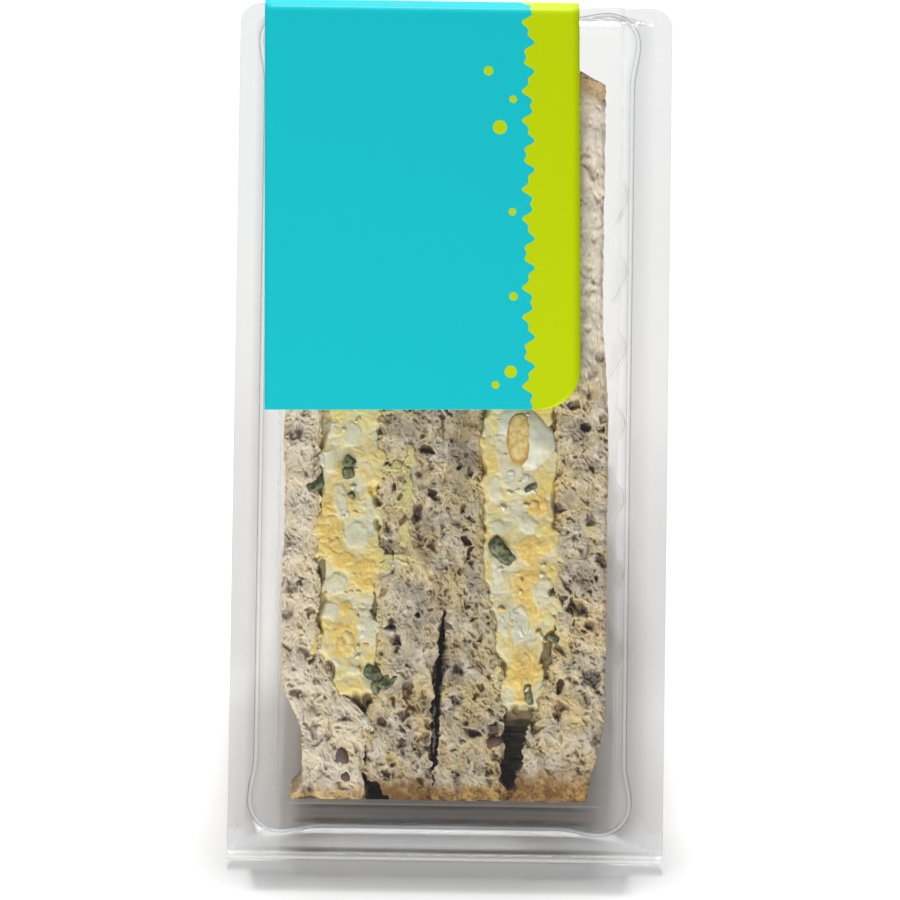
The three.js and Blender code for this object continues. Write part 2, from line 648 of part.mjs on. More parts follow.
pack.add(mesh('egg_filling_left', geometryOf(mainBody(leftFilling)), COLOURS.filling, 0.55));
pack.add(mesh('egg_filling_right', geometryOf(mainBody(rightFilling)), COLOURS.filling, 0.55));
pack.add(mesh('egg_white_piece', geometryOf(mainBody(largeWhite)), COLOURS.white, 0.4));
pack.add(mesh('egg_yolk_piece', geometryOf(mainBody(largeYolk)), COLOURS.yolk, 0.6));

// Stand the pack up and put the middle of its footprint at the origin
pack.rotation.x = LEAN;
const bounds = new THREE.Box3().setFromObject(pack, true);
const centre = bounds.getCenter(new THREE.Vector3());
pack.position.set(-centre.x, -centre.y, -bounds.min.z);

const group = new THREE.Group();
group.add(pack);

export default group;
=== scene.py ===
import bmesh
import bpy
import numpy as np
from mathutils import Matrix, Vector


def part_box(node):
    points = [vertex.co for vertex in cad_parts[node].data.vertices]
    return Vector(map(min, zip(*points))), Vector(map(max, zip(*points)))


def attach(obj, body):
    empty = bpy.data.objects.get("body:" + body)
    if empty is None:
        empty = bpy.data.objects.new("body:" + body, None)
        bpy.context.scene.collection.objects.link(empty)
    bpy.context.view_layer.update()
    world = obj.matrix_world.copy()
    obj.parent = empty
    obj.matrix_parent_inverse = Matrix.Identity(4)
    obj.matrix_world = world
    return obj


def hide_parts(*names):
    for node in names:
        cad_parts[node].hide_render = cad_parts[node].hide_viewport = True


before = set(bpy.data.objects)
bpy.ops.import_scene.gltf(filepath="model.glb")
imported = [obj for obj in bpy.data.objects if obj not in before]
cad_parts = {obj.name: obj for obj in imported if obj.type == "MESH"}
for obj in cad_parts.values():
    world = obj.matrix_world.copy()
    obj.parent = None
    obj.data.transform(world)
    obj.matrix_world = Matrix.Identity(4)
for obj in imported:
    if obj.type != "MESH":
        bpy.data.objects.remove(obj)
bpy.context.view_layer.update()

# Bread
# Four slices of soft seeded wholemeal bread, in two sandwiches cut corner to corner. The cut shows foam:
# pores of many sizes between thin pale walls, drawn out along the grain. Each slice is a grid of closed
# rings along the cut, sunk by the pores, with a thin browned crust on two sides.
MM = 0.001
SQRT2 = np.sqrt(2)
LIP_END = -1.2
OPENING_BOTTOM = 12.2
TRAY_WALL = 0.5
APEX_FLAT_START = 84
TRAY_FLANGE_BOTTOM = 3.1
LEAN = np.arctan2(LIP_END - (OPENING_BOTTOM - TRAY_WALL * SQRT2 - APEX_FLAT_START), APEX_FLAT_START)
SIN_LEAN = np.sin(LEAN)
COS_LEAN = np.cos(LEAN)
SHIFT_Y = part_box("tray")[0].y / MM - TRAY_FLANGE_BOTTOM * COS_LEAN
SHIFT_Z = -LIP_END * COS_LEAN

BREAD_BOTTOM = 12.7
BREAD_TOP = 168.6
BREAD_MIDDLE = (BREAD_BOTTOM + BREAD_TOP) / 2
BREAD_FACE = 1.6
TIP_RADIUS = 5
TIP_START = BREAD_BOTTOM - BREAD_FACE + TIP_RADIUS * (SQRT2 - 1)
CORNER_RADIUS = 10
LABEL_BOTTOM = 95.5


def to_row(points):
    """Face millimetres to row metres: (x, y cos a - z sin a, y sin a + z cos a) shifted, a the lean."""
    x, y, z = np.moveaxis(points, -1, 0)
    turned_y = y * COS_LEAN - z * SIN_LEAN + SHIFT_Y
    turned_z = y * SIN_LEAN + z * COS_LEAN + SHIFT_Z
    return MM * np.stack([x, turned_y, turned_z], axis=-1)


def smoothstep(value):
    """3 t^2 - 2 t^3 with t the value held between 0 and 1."""
    t = np.clip(value, 0, 1)
    return t * t * (3 - 2 * t)


def hashed(cells, seed, count=1):
    """Random numbers from 0 to 1, count for each cell: its coordinates mixed by multiply and xor."""
    c = cells.astype(np.uint64)
    state = np.uint64(seed * 2654435761 % 2**63)
    for axis, factor in enumerate((73856093, 19349663, 83492791)):
        state = state ^ (c[..., axis] * np.uint64(factor))
    numbers = []
    for _ in range(count):
        state = (state ^ (state >> np.uint64(31))) * np.uint64(0x9E3779B97F4A7C15)
        state = (state ^ (state >> np.uint64(29))) * np.uint64(0xBF58476D1CE4E5B9)
        numbers.append((state >> np.uint64(40)).astype(float) / 2**24)
    return np.stack(numbers, axis=-1)


def noise(points, seed):
    """Smooth values from -1 to 1: random ones at whole-number points, with smoothstep between them."""
    cell = np.floor(points).astype(np.int64)
    part = smoothstep(points - cell)
    total = 0
    for corner in np.ndindex(2, 2, 2):
        weight = np.prod(np.where(corner, part, 1 - part), axis=-1)
        total = total + weight * hashed(cell + corner, seed)[..., 0]
    return 2 * total - 1


def cells(points, seed):
    """F1, F2 and a draw: distances to the nearest two of one random centre a cube, the nearest's draw."""
    cell = np.floor(points).astype(np.int64)
    nearest = np.full(points.shape[:-1], 9.0)
    second = nearest.copy()
    draw = np.zeros_like(nearest)
    for corner in np.ndindex(3, 3, 3):
        neighbour = cell + np.array(corner) - 1
        numbers = hashed(neighbour, seed, 4)
        distance = np.linalg.norm(points - neighbour - numbers[..., :3], axis=-1)
        closer = distance < nearest
        second = np.where(closer, nearest, np.minimum(second, distance))
        draw = np.where(closer, numbers[..., 3], draw)
        nearest = np.where(closer, distance, nearest)
    return nearest, second, draw


def crust_line(y):
    """z of a slice's lower edge: a tip of radius r, a crust at 45 degrees, then a corner of radius R."""
    mirrored = np.minimum(y, BREAD_BOTTOM + BREAD_TOP - y)
    tip_centre = TIP_START + TIP_RADIUS
    tip = BREAD_FACE - np.sqrt(np.maximum(TIP_RADIUS**2 - (tip_centre - mirrored) ** 2, 0))
    level = BREAD_BOTTOM - BREAD_MIDDLE + CORNER_RADIUS * SQRT2
    corner = level - np.sqrt(np.maximum(CORNER_RADIUS**2 - (BREAD_MIDDLE - mirrored) ** 2, 0))
    line = np.where(mirrored < tip_centre - TIP_RADIUS / SQRT2, tip, BREAD_BOTTOM - mirrored)
    return np.where(mirrored > BREAD_MIDDLE - CORNER_RADIUS / SQRT2, corner, line)


def crust_distance(y, z):
    """Distance in from the nearer crust: min of the distances to the two lines at 45 degrees."""
    return np.minimum(y - BREAD_BOTTOM + z, BREAD_TOP - y + z) / SQRT2


# x at the crust and at mid slice; where the change starts and ends, in from the crust; wave number;
# then, for the upper half, other values of x at the crust and at mid slice
FACES = {
    "bread_1_left": (-30.4, -35.1, 10.5, 19.5, 0, -30.4, -35.1),
    "bread_1_right": (-17.6, -27.4, 8, 26, 1, -17.6, -27.4),
    "bread_2_left": (-16.9, -15.1, 8, 20, 2, -16.9, -15.1),
    "bread_2_right": (-3.2, -1.15, 2, 32, 3, -3.2, -1.15),
    "bread_3_left": (-2.6, -0.75, 2, 32, 3, -2.6, -0.75),
    "bread_3_right": (12, 6.8, 16, 44, 4, 12, 6.8),
    "bread_4_left": (14.7, 22.4, 2, 27, 5, 14.7, 22.4),
    "bread_4_right": (29.2, 33.4, -2, 16, 6, 31.9, 31.9),
}
UPPER_HALF_START = 92
UPPER_HALF_BLEND = 26
# How far a slice reaches over the filling at the front, and where: its middle up the face and its reach
LAPS = {"bread_1_right": (2.7, 30, 4.4), "bread_2_left": (-1.5, 30, 4.4)}
LAP_DEPTH = 2.5
WOBBLE = 0.15
FLARE_WIDTH = 2.7
FLARE_CENTRE = 1.6
FLARE_REACH = 1.5
FLARE_FADES_FROM = 16
FLARE_FADE = 4


def face_x(name, y, z):
    """x of a face: crust to middle by smoothstep of crust distance, with a sine wobble, a flare, a lap."""
    lower_crust, lower_middle, start, end, wave, upper_crust, upper_middle = FACES[name]
    distance = crust_distance(y, z)
    upper = smoothstep((y - UPPER_HALF_START) / UPPER_HALF_BLEND)
    crust = lower_crust + (upper_crust - lower_crust) * upper
    middle = lower_middle + (upper_middle - lower_middle) * upper
    x = crust + (middle - crust) * smoothstep((distance - start) / (end - start))
    x = x + WOBBLE * np.sin(0.19 * y + 2.1 * wave) * np.cos(0.13 * z + 1.3 * wave)
    if name == "bread_1_left":
        width = FLARE_WIDTH * (1 - smoothstep((y - FLARE_FADES_FROM) / FLARE_FADE))
        x = x - width * np.exp(-(((distance - FLARE_CENTRE) / FLARE_REACH) ** 2))
    if name in LAPS:
        width, middle, reach = LAPS[name]
        x = x + width * np.exp(-(((y - middle) / reach) ** 2)) * smoothstep((z + LAP_DEPTH) / LAP_DEPTH)
    return x


# Size in mm of the open pores, the share of them that is open, and their depth in mm
PORES = ((3.4, 0.3, 1.1), (1.7, 0.35, 0.8), (0.95, 0.6, 0.5))
# Size in mm of the web of thin walls between them, and its depth in mm
WEB = ((2.4, 0.45), (1.2, 0.28), (0.62, 0.26), (0.38, 0.2))
STRETCH = 0.3
# The walls of the pores: where they end and over what width they slope, as shares of a pore's size
PORE_WALL, PORE_SLOPE = 0.05, 0.5


def bent_by_noise(points, size, amount, seed):
    """Points moved by smooth noise of their own place, amount mm at most in x, y and z."""
    moves = [noise(points / size + 17 * axis, seed + axis) for axis in range(3)]
    return points + amount * np.stack(moves, axis=-1)


def foam(points, grain, seed):
    """Depth in mm below the walls: open cells of random depth, and |noise| summed over the web's sizes."""
    bent = bent_by_noise(bent_by_noise(points, 2.1, 0.8, seed), 0.7, 0.3, seed + 3)
    along = bent @ grain
    bent = bent - STRETCH * along[..., None] * grain
    depth = 0
    for step, (size, share, deepest) in enumerate(PORES):
        nearest, second, draw = cells(bent / size, seed + 10 * step)
        reach = deepest * np.clip((draw - 1 + share) / share, 0, 1) ** 0.5
        depth = depth + reach * smoothstep((second - nearest - PORE_WALL) / PORE_SLOPE)
    for step, (size, deep) in enumerate(WEB):
        depth = depth + deep * np.abs(noise(bent / size, seed + 60 + step))
    return depth


def spots(x, y, places):
    """1 - (dx / a)^2 - (dy / b)^2 of the spot that covers most: above 0 inside it, down to -1 outside."""
    best = np.full(np.shape(x), -1.0)
    for place_x, place_y, width, height in places:
        cover = 1 - ((x - place_x) / (width / 2)) ** 2 - ((y - place_y) / (height / 2)) ** 2
        best = np.maximum(best, cover)
    return best


def grid_faces(rows, columns, wrapped):
    """Quads of a grid of corners numbered row by row; wrapped joins the last column to the first."""
    r, c = np.meshgrid(np.arange(rows - 1), np.arange(columns if wrapped else columns - 1), indexing="ij")
    after = (c + 1) % columns
    quads = [r * columns + c, r * columns + after, (r + 1) * columns + after, (r + 1) * columns + c]
    return np.stack(quads, axis=-1).reshape(-1, 4)


def capped_tube(rings):
    """Corners, quads and triangles of closed rings joined in order, each end shut by a fan."""
    rows, columns, _ = rings.shape
    points = np.concatenate([rings.reshape(-1, 3), rings[[0, -1]].mean(axis=1)])
    around = np.arange(columns)
    after = (around + 1) % columns
    last_row = (rows - 1) * columns
    middle = rows * columns
    first_fan = np.stack([np.full(columns, middle), after, around], axis=-1)
    last_fan = np.stack([np.full(columns, middle + 1), last_row + around, last_row + after], axis=-1)
    return points, grid_faces(rows, columns, True), np.concatenate([first_fan, last_fan])


def add_piece(name, shape, material, replaced=(), values=None):
    """A closed mesh piece from face millimetres, faces turned outwards, riding on the pack."""
    points, quads, triangles = shape
    corners = np.concatenate([quads[:, [0, 1, 2]], quads[:, [0, 2, 3]], triangles])
    a, b, c = (points[corners[:, i]] for i in range(3))
    if np.einsum("ij,ij->", a, np.cross(b, c)) < 0:
        quads = quads[:, ::-1]
        triangles = triangles[:, ::-1]
    data = bpy.data.meshes.new(name)
    data.from_pydata(to_row(points).tolist(), [], quads.tolist() + triangles.tolist())
    data.polygons.foreach_set("use_smooth", np.ones(len(data.polygons), bool))
    for key, numbers in (values or {}).items():
        attribute = data.attributes.new(key, "FLOAT", "POINT")
        attribute.data.foreach_set("value", numbers.astype(np.float32).ravel())
    data.materials.append(material)
    piece = bpy.data.objects.new(name, data)
    bpy.context.scene.collection.objects.link(piece)
    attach(piece, "root")
    if replaced:
        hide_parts(*replaced)
    return piece


def add_rings(name, rings, material, replaced, values):
    """A piece from closed rings and values at their corners; an end's middle has the mean of its ring."""
    padded = {}
    for key, numbers in values.items():
        padded[key] = np.append(numbers.ravel(), numbers[[0, -1]].mean(axis=1))
    return add_piece(name, capped_tube(rings), material, replaced, padded)


class Shade:
    """A shader socket, or the start of a node tree, that arithmetic and node() build on."""

    def __init__(self, tree, socket=None):
        self.tree = tree
        self.socket = socket

    def node(self, kind, settings, inputs, output=0):
        """Any node: its type, its settings, its inputs by name or number, and the output to go on with."""
        made = self.tree.nodes.new(kind)
        for key, value in settings.items():
            setattr(made, key, value)
        for key, value in inputs.items():
            if isinstance(value, Shade):
                self.tree.links.new(value.socket, made.inputs[key])
            else:
                made.inputs[key].default_value = value
        return Shade(self.tree, made.outputs[output])

    def math(self, operation, *values):
        return self.node("ShaderNodeMath", {"operation": operation}, dict(enumerate(values)))

    def __add__(self, other):
        return self.math("ADD", self, other)

    __radd__ = __add__

    def __sub__(self, other):
        return self.math("SUBTRACT", self, other)

    def __rsub__(self, other):
        return self.math("SUBTRACT", other, self)

    def __mul__(self, other):
        return self.math("MULTIPLY", self, other)

    __rmul__ = __mul__

    def __pow__(self, other):
        return self.math("POWER", self, other)

    def step(self, low, high):
        """Smooth rise from 0 at low to 1 at high."""
        settings = {"interpolation_type": "SMOOTHSTEP"}
        return self.node("ShaderNodeMapRange", settings, {"Value": self, "From Min": low, "From Max": high})

    def mix(self, low, high):
        """The colour low where this is 0 and high where it is 1."""
        return self.node("ShaderNodeMix", {"data_type": "RGBA"}, {0: self, 6: low, 7: high}, 2)

    def value(self, name):
        """An attribute of the piece."""
        return self.node("ShaderNodeAttribute", {"attribute_name": name}, {}, "Fac")

    def noise(self, size, detail=2.0, distortion=0.0):
        """Noise from 0 to 1 with features about size mm across, on Object coordinates."""
        place = self.node("ShaderNodeTexCoord", {}, {}, "Object")
        inputs = {"Vector": place, "Scale": 1 / (size * MM), "Detail": detail, "Distortion": distortion}
        return self.node("ShaderNodeTexNoise", {}, inputs)


def colour(red, green, blue):
    """sRGB numbers from 0 to 255 as linear light: ((c + 0.055) / 1.055)^2.4, or c / 12.92 when dark."""
    c = np.array([red, green, blue]) / 255
    linear = np.where(c > 0.04045, ((c + 0.055) / 1.055) ** 2.4, c / 12.92)
    return (*linear.tolist(), 1.0)


def new_material(name, settings):
    """A material, its Principled node with those constants set, and the start of its tree."""
    made = bpy.data.materials.new(name)
    made.use_nodes = True
    shader = made.node_tree.nodes["Principled BSDF"]
    for key, value in settings.items():
        shader.inputs[key].default_value = value
    return made, shader, Shade(made.node_tree)


def link(shader, key, shade):
    shade.tree.links.new(shade.socket, shader.inputs[key])


def set_surface(shader, surface, strength, depth, height):
    """The colour of a surface, and a bump of a strength and a depth in mm that follows a height."""
    link(shader, "Base Color", surface)
    inputs = {"Strength": strength, "Distance": depth * MM, "Height": height}
    link(shader, "Normal", surface.node("ShaderNodeBump", {}, inputs))


bread_material, bread_shader, bread = new_material("bread", {"Roughness": 0.85, "Specular IOR Level": 0.2})
pore = bread.value("pore")
warm = (bread.noise(7, 2.0) + 0.35 * (bread.noise(1.3, 2.0) - 0.5)).step(0.4, 0.62)
fine = bread.noise(0.55, 3.0)
# Painted shade in the pores: the crumb's and the stain's colours darken with the pores' depth
wall = warm.mix(colour(243, 233, 211), colour(250, 233, 187))
web = warm.mix(colour(206, 193, 168), colour(218, 195, 147))
pore_shade = warm.mix(colour(118, 106, 96), colour(130, 106, 76))
crumb = (pore + 0.5 * (fine - 0.5)).step(0.05, 0.5).mix(wall, web)
crumb = (pore + 0.7 * (fine - 0.5)).step(0.5, 1.25).mix(crumb, pore_shade)
crumb = (bread.noise(5, 2.0).step(0.52, 0.68) * 0.3).mix(crumb, colour(128, 118, 110))
crumb = pore.step(1.1, 2).mix(crumb, colour(70, 58, 53))
stain_colour = (pore + fine - 0.5).step(0.3, 1.1).mix(colour(232, 212, 146), colour(160, 132, 80))
crumb = (bread.value("stain").step(0, 0.9) * 0.6).mix(crumb, stain_colour)
crumb = (bread.noise(1.1, 1.0).step(0.66, 0.72) * 0.6).mix(crumb, colour(98, 72, 54))
toast = (bread.value("toast") + 1.4 * (bread.noise(2.2, 4.0) - 0.5)).step(0.1, 0.95)
crust = toast.mix(colour(224, 184, 112), colour(136, 98, 56))
crust = (fine.step(0.5, 0.66) * 0.6).mix(crust, colour(112, 78, 48))
# Painted shade in the crust's pores
crust = (pore.step(0.5, 1.2) * 0.6).mix(crust, colour(84, 58, 40))
crumb = bread.value("crust").mix(crumb, crust)
smear_colour = fine.step(0.3, 0.7).mix(colour(206, 196, 120), colour(240, 232, 170))
crumb = bread.value("smear").step(0.1, 0.25).mix(crumb, smear_colour)
# A slice's paler tone; on the fourth slice's upper half it is painted haze of light mirrored by the lid
paler = bread.value("paler") * (1 - 0.7 * bread.value("crust"))
crumb = paler.mix(crumb, colour(250, 238, 218))
# Darker patches and slices, and painted shade in the gaps between slices and in the torn corner
crumb = bread.value("darker_and_painted_shade").mix(crumb, colour(50, 40, 32))
set_surface(bread_shader, crumb, 0.6, 0.25, fine)

FINE_STEP = 0.19
COARSE_STEP = 0.45
FINE_BELOW = 98
CRUST_BIAS = 1.7
LEAST_THICKNESS = 0.4
EDGE_ROUNDING = 0.5
EDGE_WIDTH = 0.9
# The crust is brown over this share of its depth and fades over the next, with an edge this ragged in mm
CRUST_SOLID, CRUST_FADE, CRUST_RAGGEDNESS = 0.5, 0.6, 1.1
# Height in mm of the cut above its ring, of its slight waves, and of a smear on it
CUT_RAISED, CUT_WAVES, SMEAR_RAISED = 0.5, 0.35, 0.25
# A slice's outer side is dry like crust: how far in from it, and how much
SKIN_WIDTH = 0.9
SKIN_DRYNESS = 0.55
SEAM_OVERLAP = 0.45
SEAM_OPEN = (19, 5, 46, 12, 0.75)
# How far slices swell towards each other behind the front, below what depth, and over what depth more
TOUCH = {"near": (0.6, -3, 4), "far": (2.2, -6, 4)}
TOUCH_ABOVE_CRUST = 0.9
TOUCH_TOP = -1.5
# Painted shade inside the gaps between slices: how dark, below what depth in mm, and over what depth it
# deepens
GAP_SHADE = (0.97, -1.4, 2.8)
# The share of the edges' raggedness that is left where a slice lies against the tray
OUTER_RAGGEDNESS = 0.25
# The knife leaves the walls flat: what is shallower than this in mm is sunk by this share of its depth
FLATNESS = 0.3
FLAT_ABOVE = 1.5
# How much of the pores' depth crust, a smear and a hollow take away
CRUST_FILLS, SMEAR_FILLS, HOLLOW_FILLS = 0.35, 0.8, 0.5
# A slice's sides are sunk by this share of the pores' depth, which counts up to so many mm
SIDE_SHARE, SIDE_DEPTH = 0.5, 1.2
# How far the filling stains the bread beside it, how strongly, from how far in, and over what distance more
STAIN_REACH, STAIN_STRENGTH, STAIN_FROM, STAIN_BLEND = 3, 0.7, 9, 8
CORNER_SLANT = 0.55
CORNER_FROM_X = 26.5
CORNER_FROM_Y = 154
# Corners across the cut, then down the left and the right side; the grain; the crust's depth and how
# brown it is; how much paler the slice is, or darker below 0, in its lower and its upper half. The fourth
# slice's paler upper half is painted haze, light mirrored by the lid
SLICES = {
    "bread_1": (84, 24, 12, (0.1, -0.99, 0.1), 4.2, 0.3, 0.44, 0.44),
    "bread_2": (92, 12, 12, (0.25, -0.96, 0.1), 5.6, 0.9, -0.08, -0.08),
    "bread_3": (92, 12, 12, (0.5, -0.86, 0.1), 4.8, 0.5, -0.16, -0.16),
    "bread_4": (94, 12, 26, (0.5, -0.86, 0.1), 7, 0.66, -0.03, 0.98),
}
# The side of each slice that lies on a filling
FILLING_SIDES = ("bread_1_right", "bread_2_left", "bread_3_right", "bread_4_left")
STAINS = (
    (-33.6, 71.7, 2.8, 7), (-33.3, 54.4, 2.4, 7), (7.9, 44.2, 8, 9), (-27.5, 29.2, 2.4, 3.2),
    (-5.4, 25.4, 3.4, 3), (-11.5, 21.1, 3.4, 3), (1.6, 59.7, 6, 8), (12, 56.7, 3, 3),
    (-34.6, 88, 1, 20), (-9, 66, 9, 10), (-28, 66, 5, 9), (-11, 84, 8, 9), (5, 36, 6, 6),
    (25, 46, 7, 10), (30, 70, 5, 4), (27, 30, 5, 8),
)
SMEARS = (
    (-13.2, 95.2, 1.9, 1), (-8.3, 94.9, 1.9, 1.3), (-16.7, 86.2, 1.8, 3.4), (-8.4, 86.5, 1.7, 5),
    (-8.9, 81, 1.9, 7), (-9.1, 76.6, 3.9, 3.4), (-12.2, 83.6, 5.4, 1.3), (-15.4, 82.2, 3, 1.2),
    (-9.2, 69.6, 2.8, 6.4), (-12.9, 64, 3, 2.6), (-14.2, 61.8, 3, 3), (-10.6, 64.6, 2.4, 1.2),
    (-9.9, 63, 1.4, 1),
)
PITS = (
    (-29.5, 52.3, 2.2, 3.2), (-28.4, 42.8, 1.8, 3.6), (-4.9, 86.9, 2.3, 3.4), (-4.1, 77.9, 2.8, 3),
    (-6.7, 52.1, 1.5, 2.5), (-2.8, 39, 2.2, 2.8), (3.2, 68.4, 2.6, 3.4), (4.4, 65.6, 2, 4),
    (5.6, 27.3, 3.2, 2.6), (23.9, 37.8, 2.6, 3.4), (28.6, 92, 3.8, 3), (-27.1, 62.7, 2.3, 3),
)
# The corner of the second slice that is torn off at its tip
TORN = ((-17.3, 14.4, 8, 6.4), (-13.8, 13.2, 4.4, 2.6))
TORN_DEPTH = 4
# How dark the painted shade in the torn hollow is
TORN_SHADE = 0.7
# Broad shallow hollows, places where the crumb is darker, and by how much
HOLLOWS = ((25.2, 77.3, 4.9, 6.4), (3, 90, 4, 6), (-8, 44, 5, 7))
PIT_DEPTH = 1.7
HOLLOW_DEPTH = 0.6
DARK_PATCHES = (
    (-9, 93.6, 12, 7), (2.6, 86, 8, 22), (-30.4, 92, 5, 7), (-6.4, 54, 5, 14), (27, 90.5, 6, 9),
    (-5, 68, 6, 10), (28.5, 62, 5, 12), (-31.6, 68, 4, 7), (-4, 33, 6, 6), (1, 41, 6, 8),
)
DARK_PATCH_STRENGTH = 0.24


def slice_rows():
    """y of the rings: close together below the label's edge, wider above it."""
    end = BREAD_BOTTOM + BREAD_TOP - TIP_START
    fine = np.arange(TIP_START, FINE_BELOW, FINE_STEP)
    coarse = np.arange(fine[-1] + COARSE_STEP, end - COARSE_STEP / 2, COARSE_STEP)
    return np.concatenate([fine, coarse, [end]])


def ring_parameters(across, back, left, right):
    """w across and v from back to front, both 0 to 1, round a ring: front, right, back, left."""
    sides = [np.linspace(1, 0, right + 2)[1:-1], np.linspace(0, 1, left + 2)[1:-1]]
    w = np.concatenate([np.linspace(0, 1, across), np.ones(right), np.linspace(1, 0, back), np.zeros(left)])
    v = np.concatenate([np.ones(across), sides[0], np.zeros(back), sides[1]])
    return w, v


def ragged_edge(places, seed):
    """How far the edge of a slice moves in mm: coarse noise and finer noise."""
    return 0.6 * noise(places, seed) + 0.3 * noise(3.1 * places, seed + 4)


def bread_slice(name, seed):
    """Rings of a slice and the values its material reads, worked out at every corner at once."""
    across, left_steps, right_steps, direction, crust_depth, brown, paler, upper_paler = SLICES[name]
    grain = np.array(direction) / np.linalg.norm(direction)
    w, v = ring_parameters(across, across // 4, left_steps, right_steps)
    y = slice_rows()[:, None] + 0 * w
    bottom = np.minimum(crust_line(y), BREAD_FACE - LEAST_THICKNESS)
    z = bottom + (BREAD_FACE - bottom) * v**CRUST_BIAS
    left_x = face_x(f"{name}_left", y, z)
    right_x = face_x(f"{name}_right", y, z)
    open_from, opening, open_to, closing, gap = SEAM_OPEN
    lowest = np.minimum(bottom + TOUCH_ABOVE_CRUST, TOUCH_TOP)
    near, far = (
        swell * (1 - smoothstep((z - np.maximum(start, lowest)) / blend))
        for swell, start, blend in TOUCH.values()
    )
    seam = SEAM_OVERLAP * smoothstep((y - open_to) / closing)
    seam = seam - gap * smoothstep((y - open_from) / opening) * (1 - smoothstep((y - open_to) / closing))
    edge_places = np.stack([0 * y, y / 1.6, z / 1.6], axis=-1)
    left_swell = {"bread_1": 0, "bread_4": far}.get(name, near)
    right_swell = {"bread_4": 0, "bread_3": far}.get(name, near)
    left_share = OUTER_RAGGEDNESS if name == "bread_1" else 1
    right_share = OUTER_RAGGEDNESS if name == "bread_4" else 1
    left_move = ragged_edge(edge_places, seed + 41) * left_share - left_swell
    left_move = left_move - seam * (name == "bread_3")
    right_move = ragged_edge(edge_places, seed + 42) * right_share + right_swell
    right_move = right_move + seam * (name == "bread_2")
    x = left_x + (right_x - left_x) * w + left_move * (1 - w) ** 6 + right_move * w**6
    points = np.stack([x, y, z], axis=-1)
    depth = foam(points, grain, seed)
    ragged = 0.6 * noise(points / 2.2, seed + 40) + 0.5 * noise(points / 0.9, seed + 43)
    distance = crust_distance(y, z)
    on_face = v == 1
    past_solid = distance - CRUST_SOLID * crust_depth + CRUST_RAGGEDNESS * ragged
    crust = 1 - smoothstep(past_solid / (CRUST_FADE * crust_depth))
    crust = np.maximum(crust, np.where(v == 0, 1.0, 0.0))
    depth = depth * (1 - CRUST_FILLS * crust)
    jagged = bent_by_noise(bent_by_noise(points, 1.6, 0.9, 61), 0.5, 0.3, 71)
    jagged_x, jagged_y = jagged[..., 0], jagged[..., 1]
    pit = smoothstep(1.2 * spots(jagged_x, jagged_y, PITS)) * on_face
    torn = smoothstep(3 * spots(jagged_x, jagged_y, TORN)) * (name == "bread_2")
    hollow = smoothstep(spots(jagged_x, jagged_y, HOLLOWS)) * on_face
    smear = spots(jagged_x, jagged_y, SMEARS) * on_face if name == "bread_2" else np.full(x.shape, -1.0)
    covered = smoothstep(smear / 0.3)
    depth = depth * (1 - SMEAR_FILLS * covered) * (1 - HOLLOW_FILLS * hollow)
    depth = np.maximum.reduce([depth, PIT_DEPTH * pit, HOLLOW_DEPTH * hollow, TORN_DEPTH * torn])
    edge = np.minimum(x - left_x, right_x - x)
    rounding = EDGE_ROUNDING * (1 - smoothstep(edge / EDGE_WIDTH)) * (1 + 0.8 * ragged)
    relief = CUT_WAVES * np.sin(0.9 * x + 0.31 * y) * np.sin(0.47 * y - 0.6 * x)
    relief = relief + SMEAR_RAISED * covered + CUT_RAISED
    cut_flat = FLATNESS + (1 - FLATNESS) * smoothstep(depth / FLAT_ABOVE)
    sunk = np.minimum(depth * cut_flat + rounding, z - bottom - 0.1)
    points[..., 2] += np.where(on_face, relief * (1 - torn) - sunk, 0)
    inward = np.where(w == 0, 1, np.where(w == 1, -1, 0)) * (v < 1) * (v > 0)
    points[..., 0] += inward * SIDE_SHARE * np.minimum(depth, SIDE_DEPTH)
    past = np.maximum(x - CORNER_FROM_X, 0) * smoothstep((y - CORNER_FROM_Y) / (BREAD_TOP - CORNER_FROM_Y))
    points[..., 1] -= CORNER_SLANT * past
    outer = {"bread_1": x - left_x, "bread_4": right_x - x}.get(name, SKIN_WIDTH + 0 * x)
    skin = (1 - smoothstep(outer / SKIN_WIDTH)) * (1 - crust)
    egg_side = FILLING_SIDES[list(SLICES).index(name)]
    beside = abs(x - face_x(egg_side, y, z))
    stain = STAIN_STRENGTH * (1 - smoothstep((beside + ragged) / STAIN_REACH))
    stain = stain * smoothstep((distance - STAIN_FROM) / STAIN_BLEND)
    stain = np.maximum(stain + 0.3 * ragged * (beside < 6), spots(jagged_x, jagged_y, STAINS) * on_face)
    shade = paler + (upper_paler - paler) * smoothstep((y - UPPER_HALF_START) / UPPER_HALF_BLEND)
    dark_patch = DARK_PATCH_STRENGTH * smoothstep(1.5 * spots(jagged_x, jagged_y, DARK_PATCHES)) * on_face
    inner_side = ((w == 0) & (name != "bread_1")) | ((w == 1) & (name != "bread_4"))
    # Painted shade deep in the gaps between slices
    darkness, dark_below, darkening = GAP_SHADE
    gap_shade = darkness * (1 - smoothstep((z - dark_below) / darkening)) * inner_side
    gap_shade = gap_shade * smoothstep((v - 0.02) / 0.1) * (v < 1)
    values = {
        "pore": depth * (1 - 0.7 * skin),
        "crust": np.maximum(crust, SKIN_DRYNESS * skin) * (1 - torn),
        "stain": stain,
        "smear": smear,
        "toast": brown * (1 - 0.8 * smoothstep((y - UPPER_HALF_START) / UPPER_HALF_BLEND)),
        "paler": np.maximum(shade, 0),
        "darker_and_painted_shade": np.maximum.reduce([dark_patch - shade, TORN_SHADE * torn, gap_shade]),
    }
    return points, values


for index, name in enumerate(SLICES):
    rings, values = bread_slice(name, 100 + 50 * index)
    add_rings(name.replace("bread", "bread_slice"), rings, bread_material, [name], values)

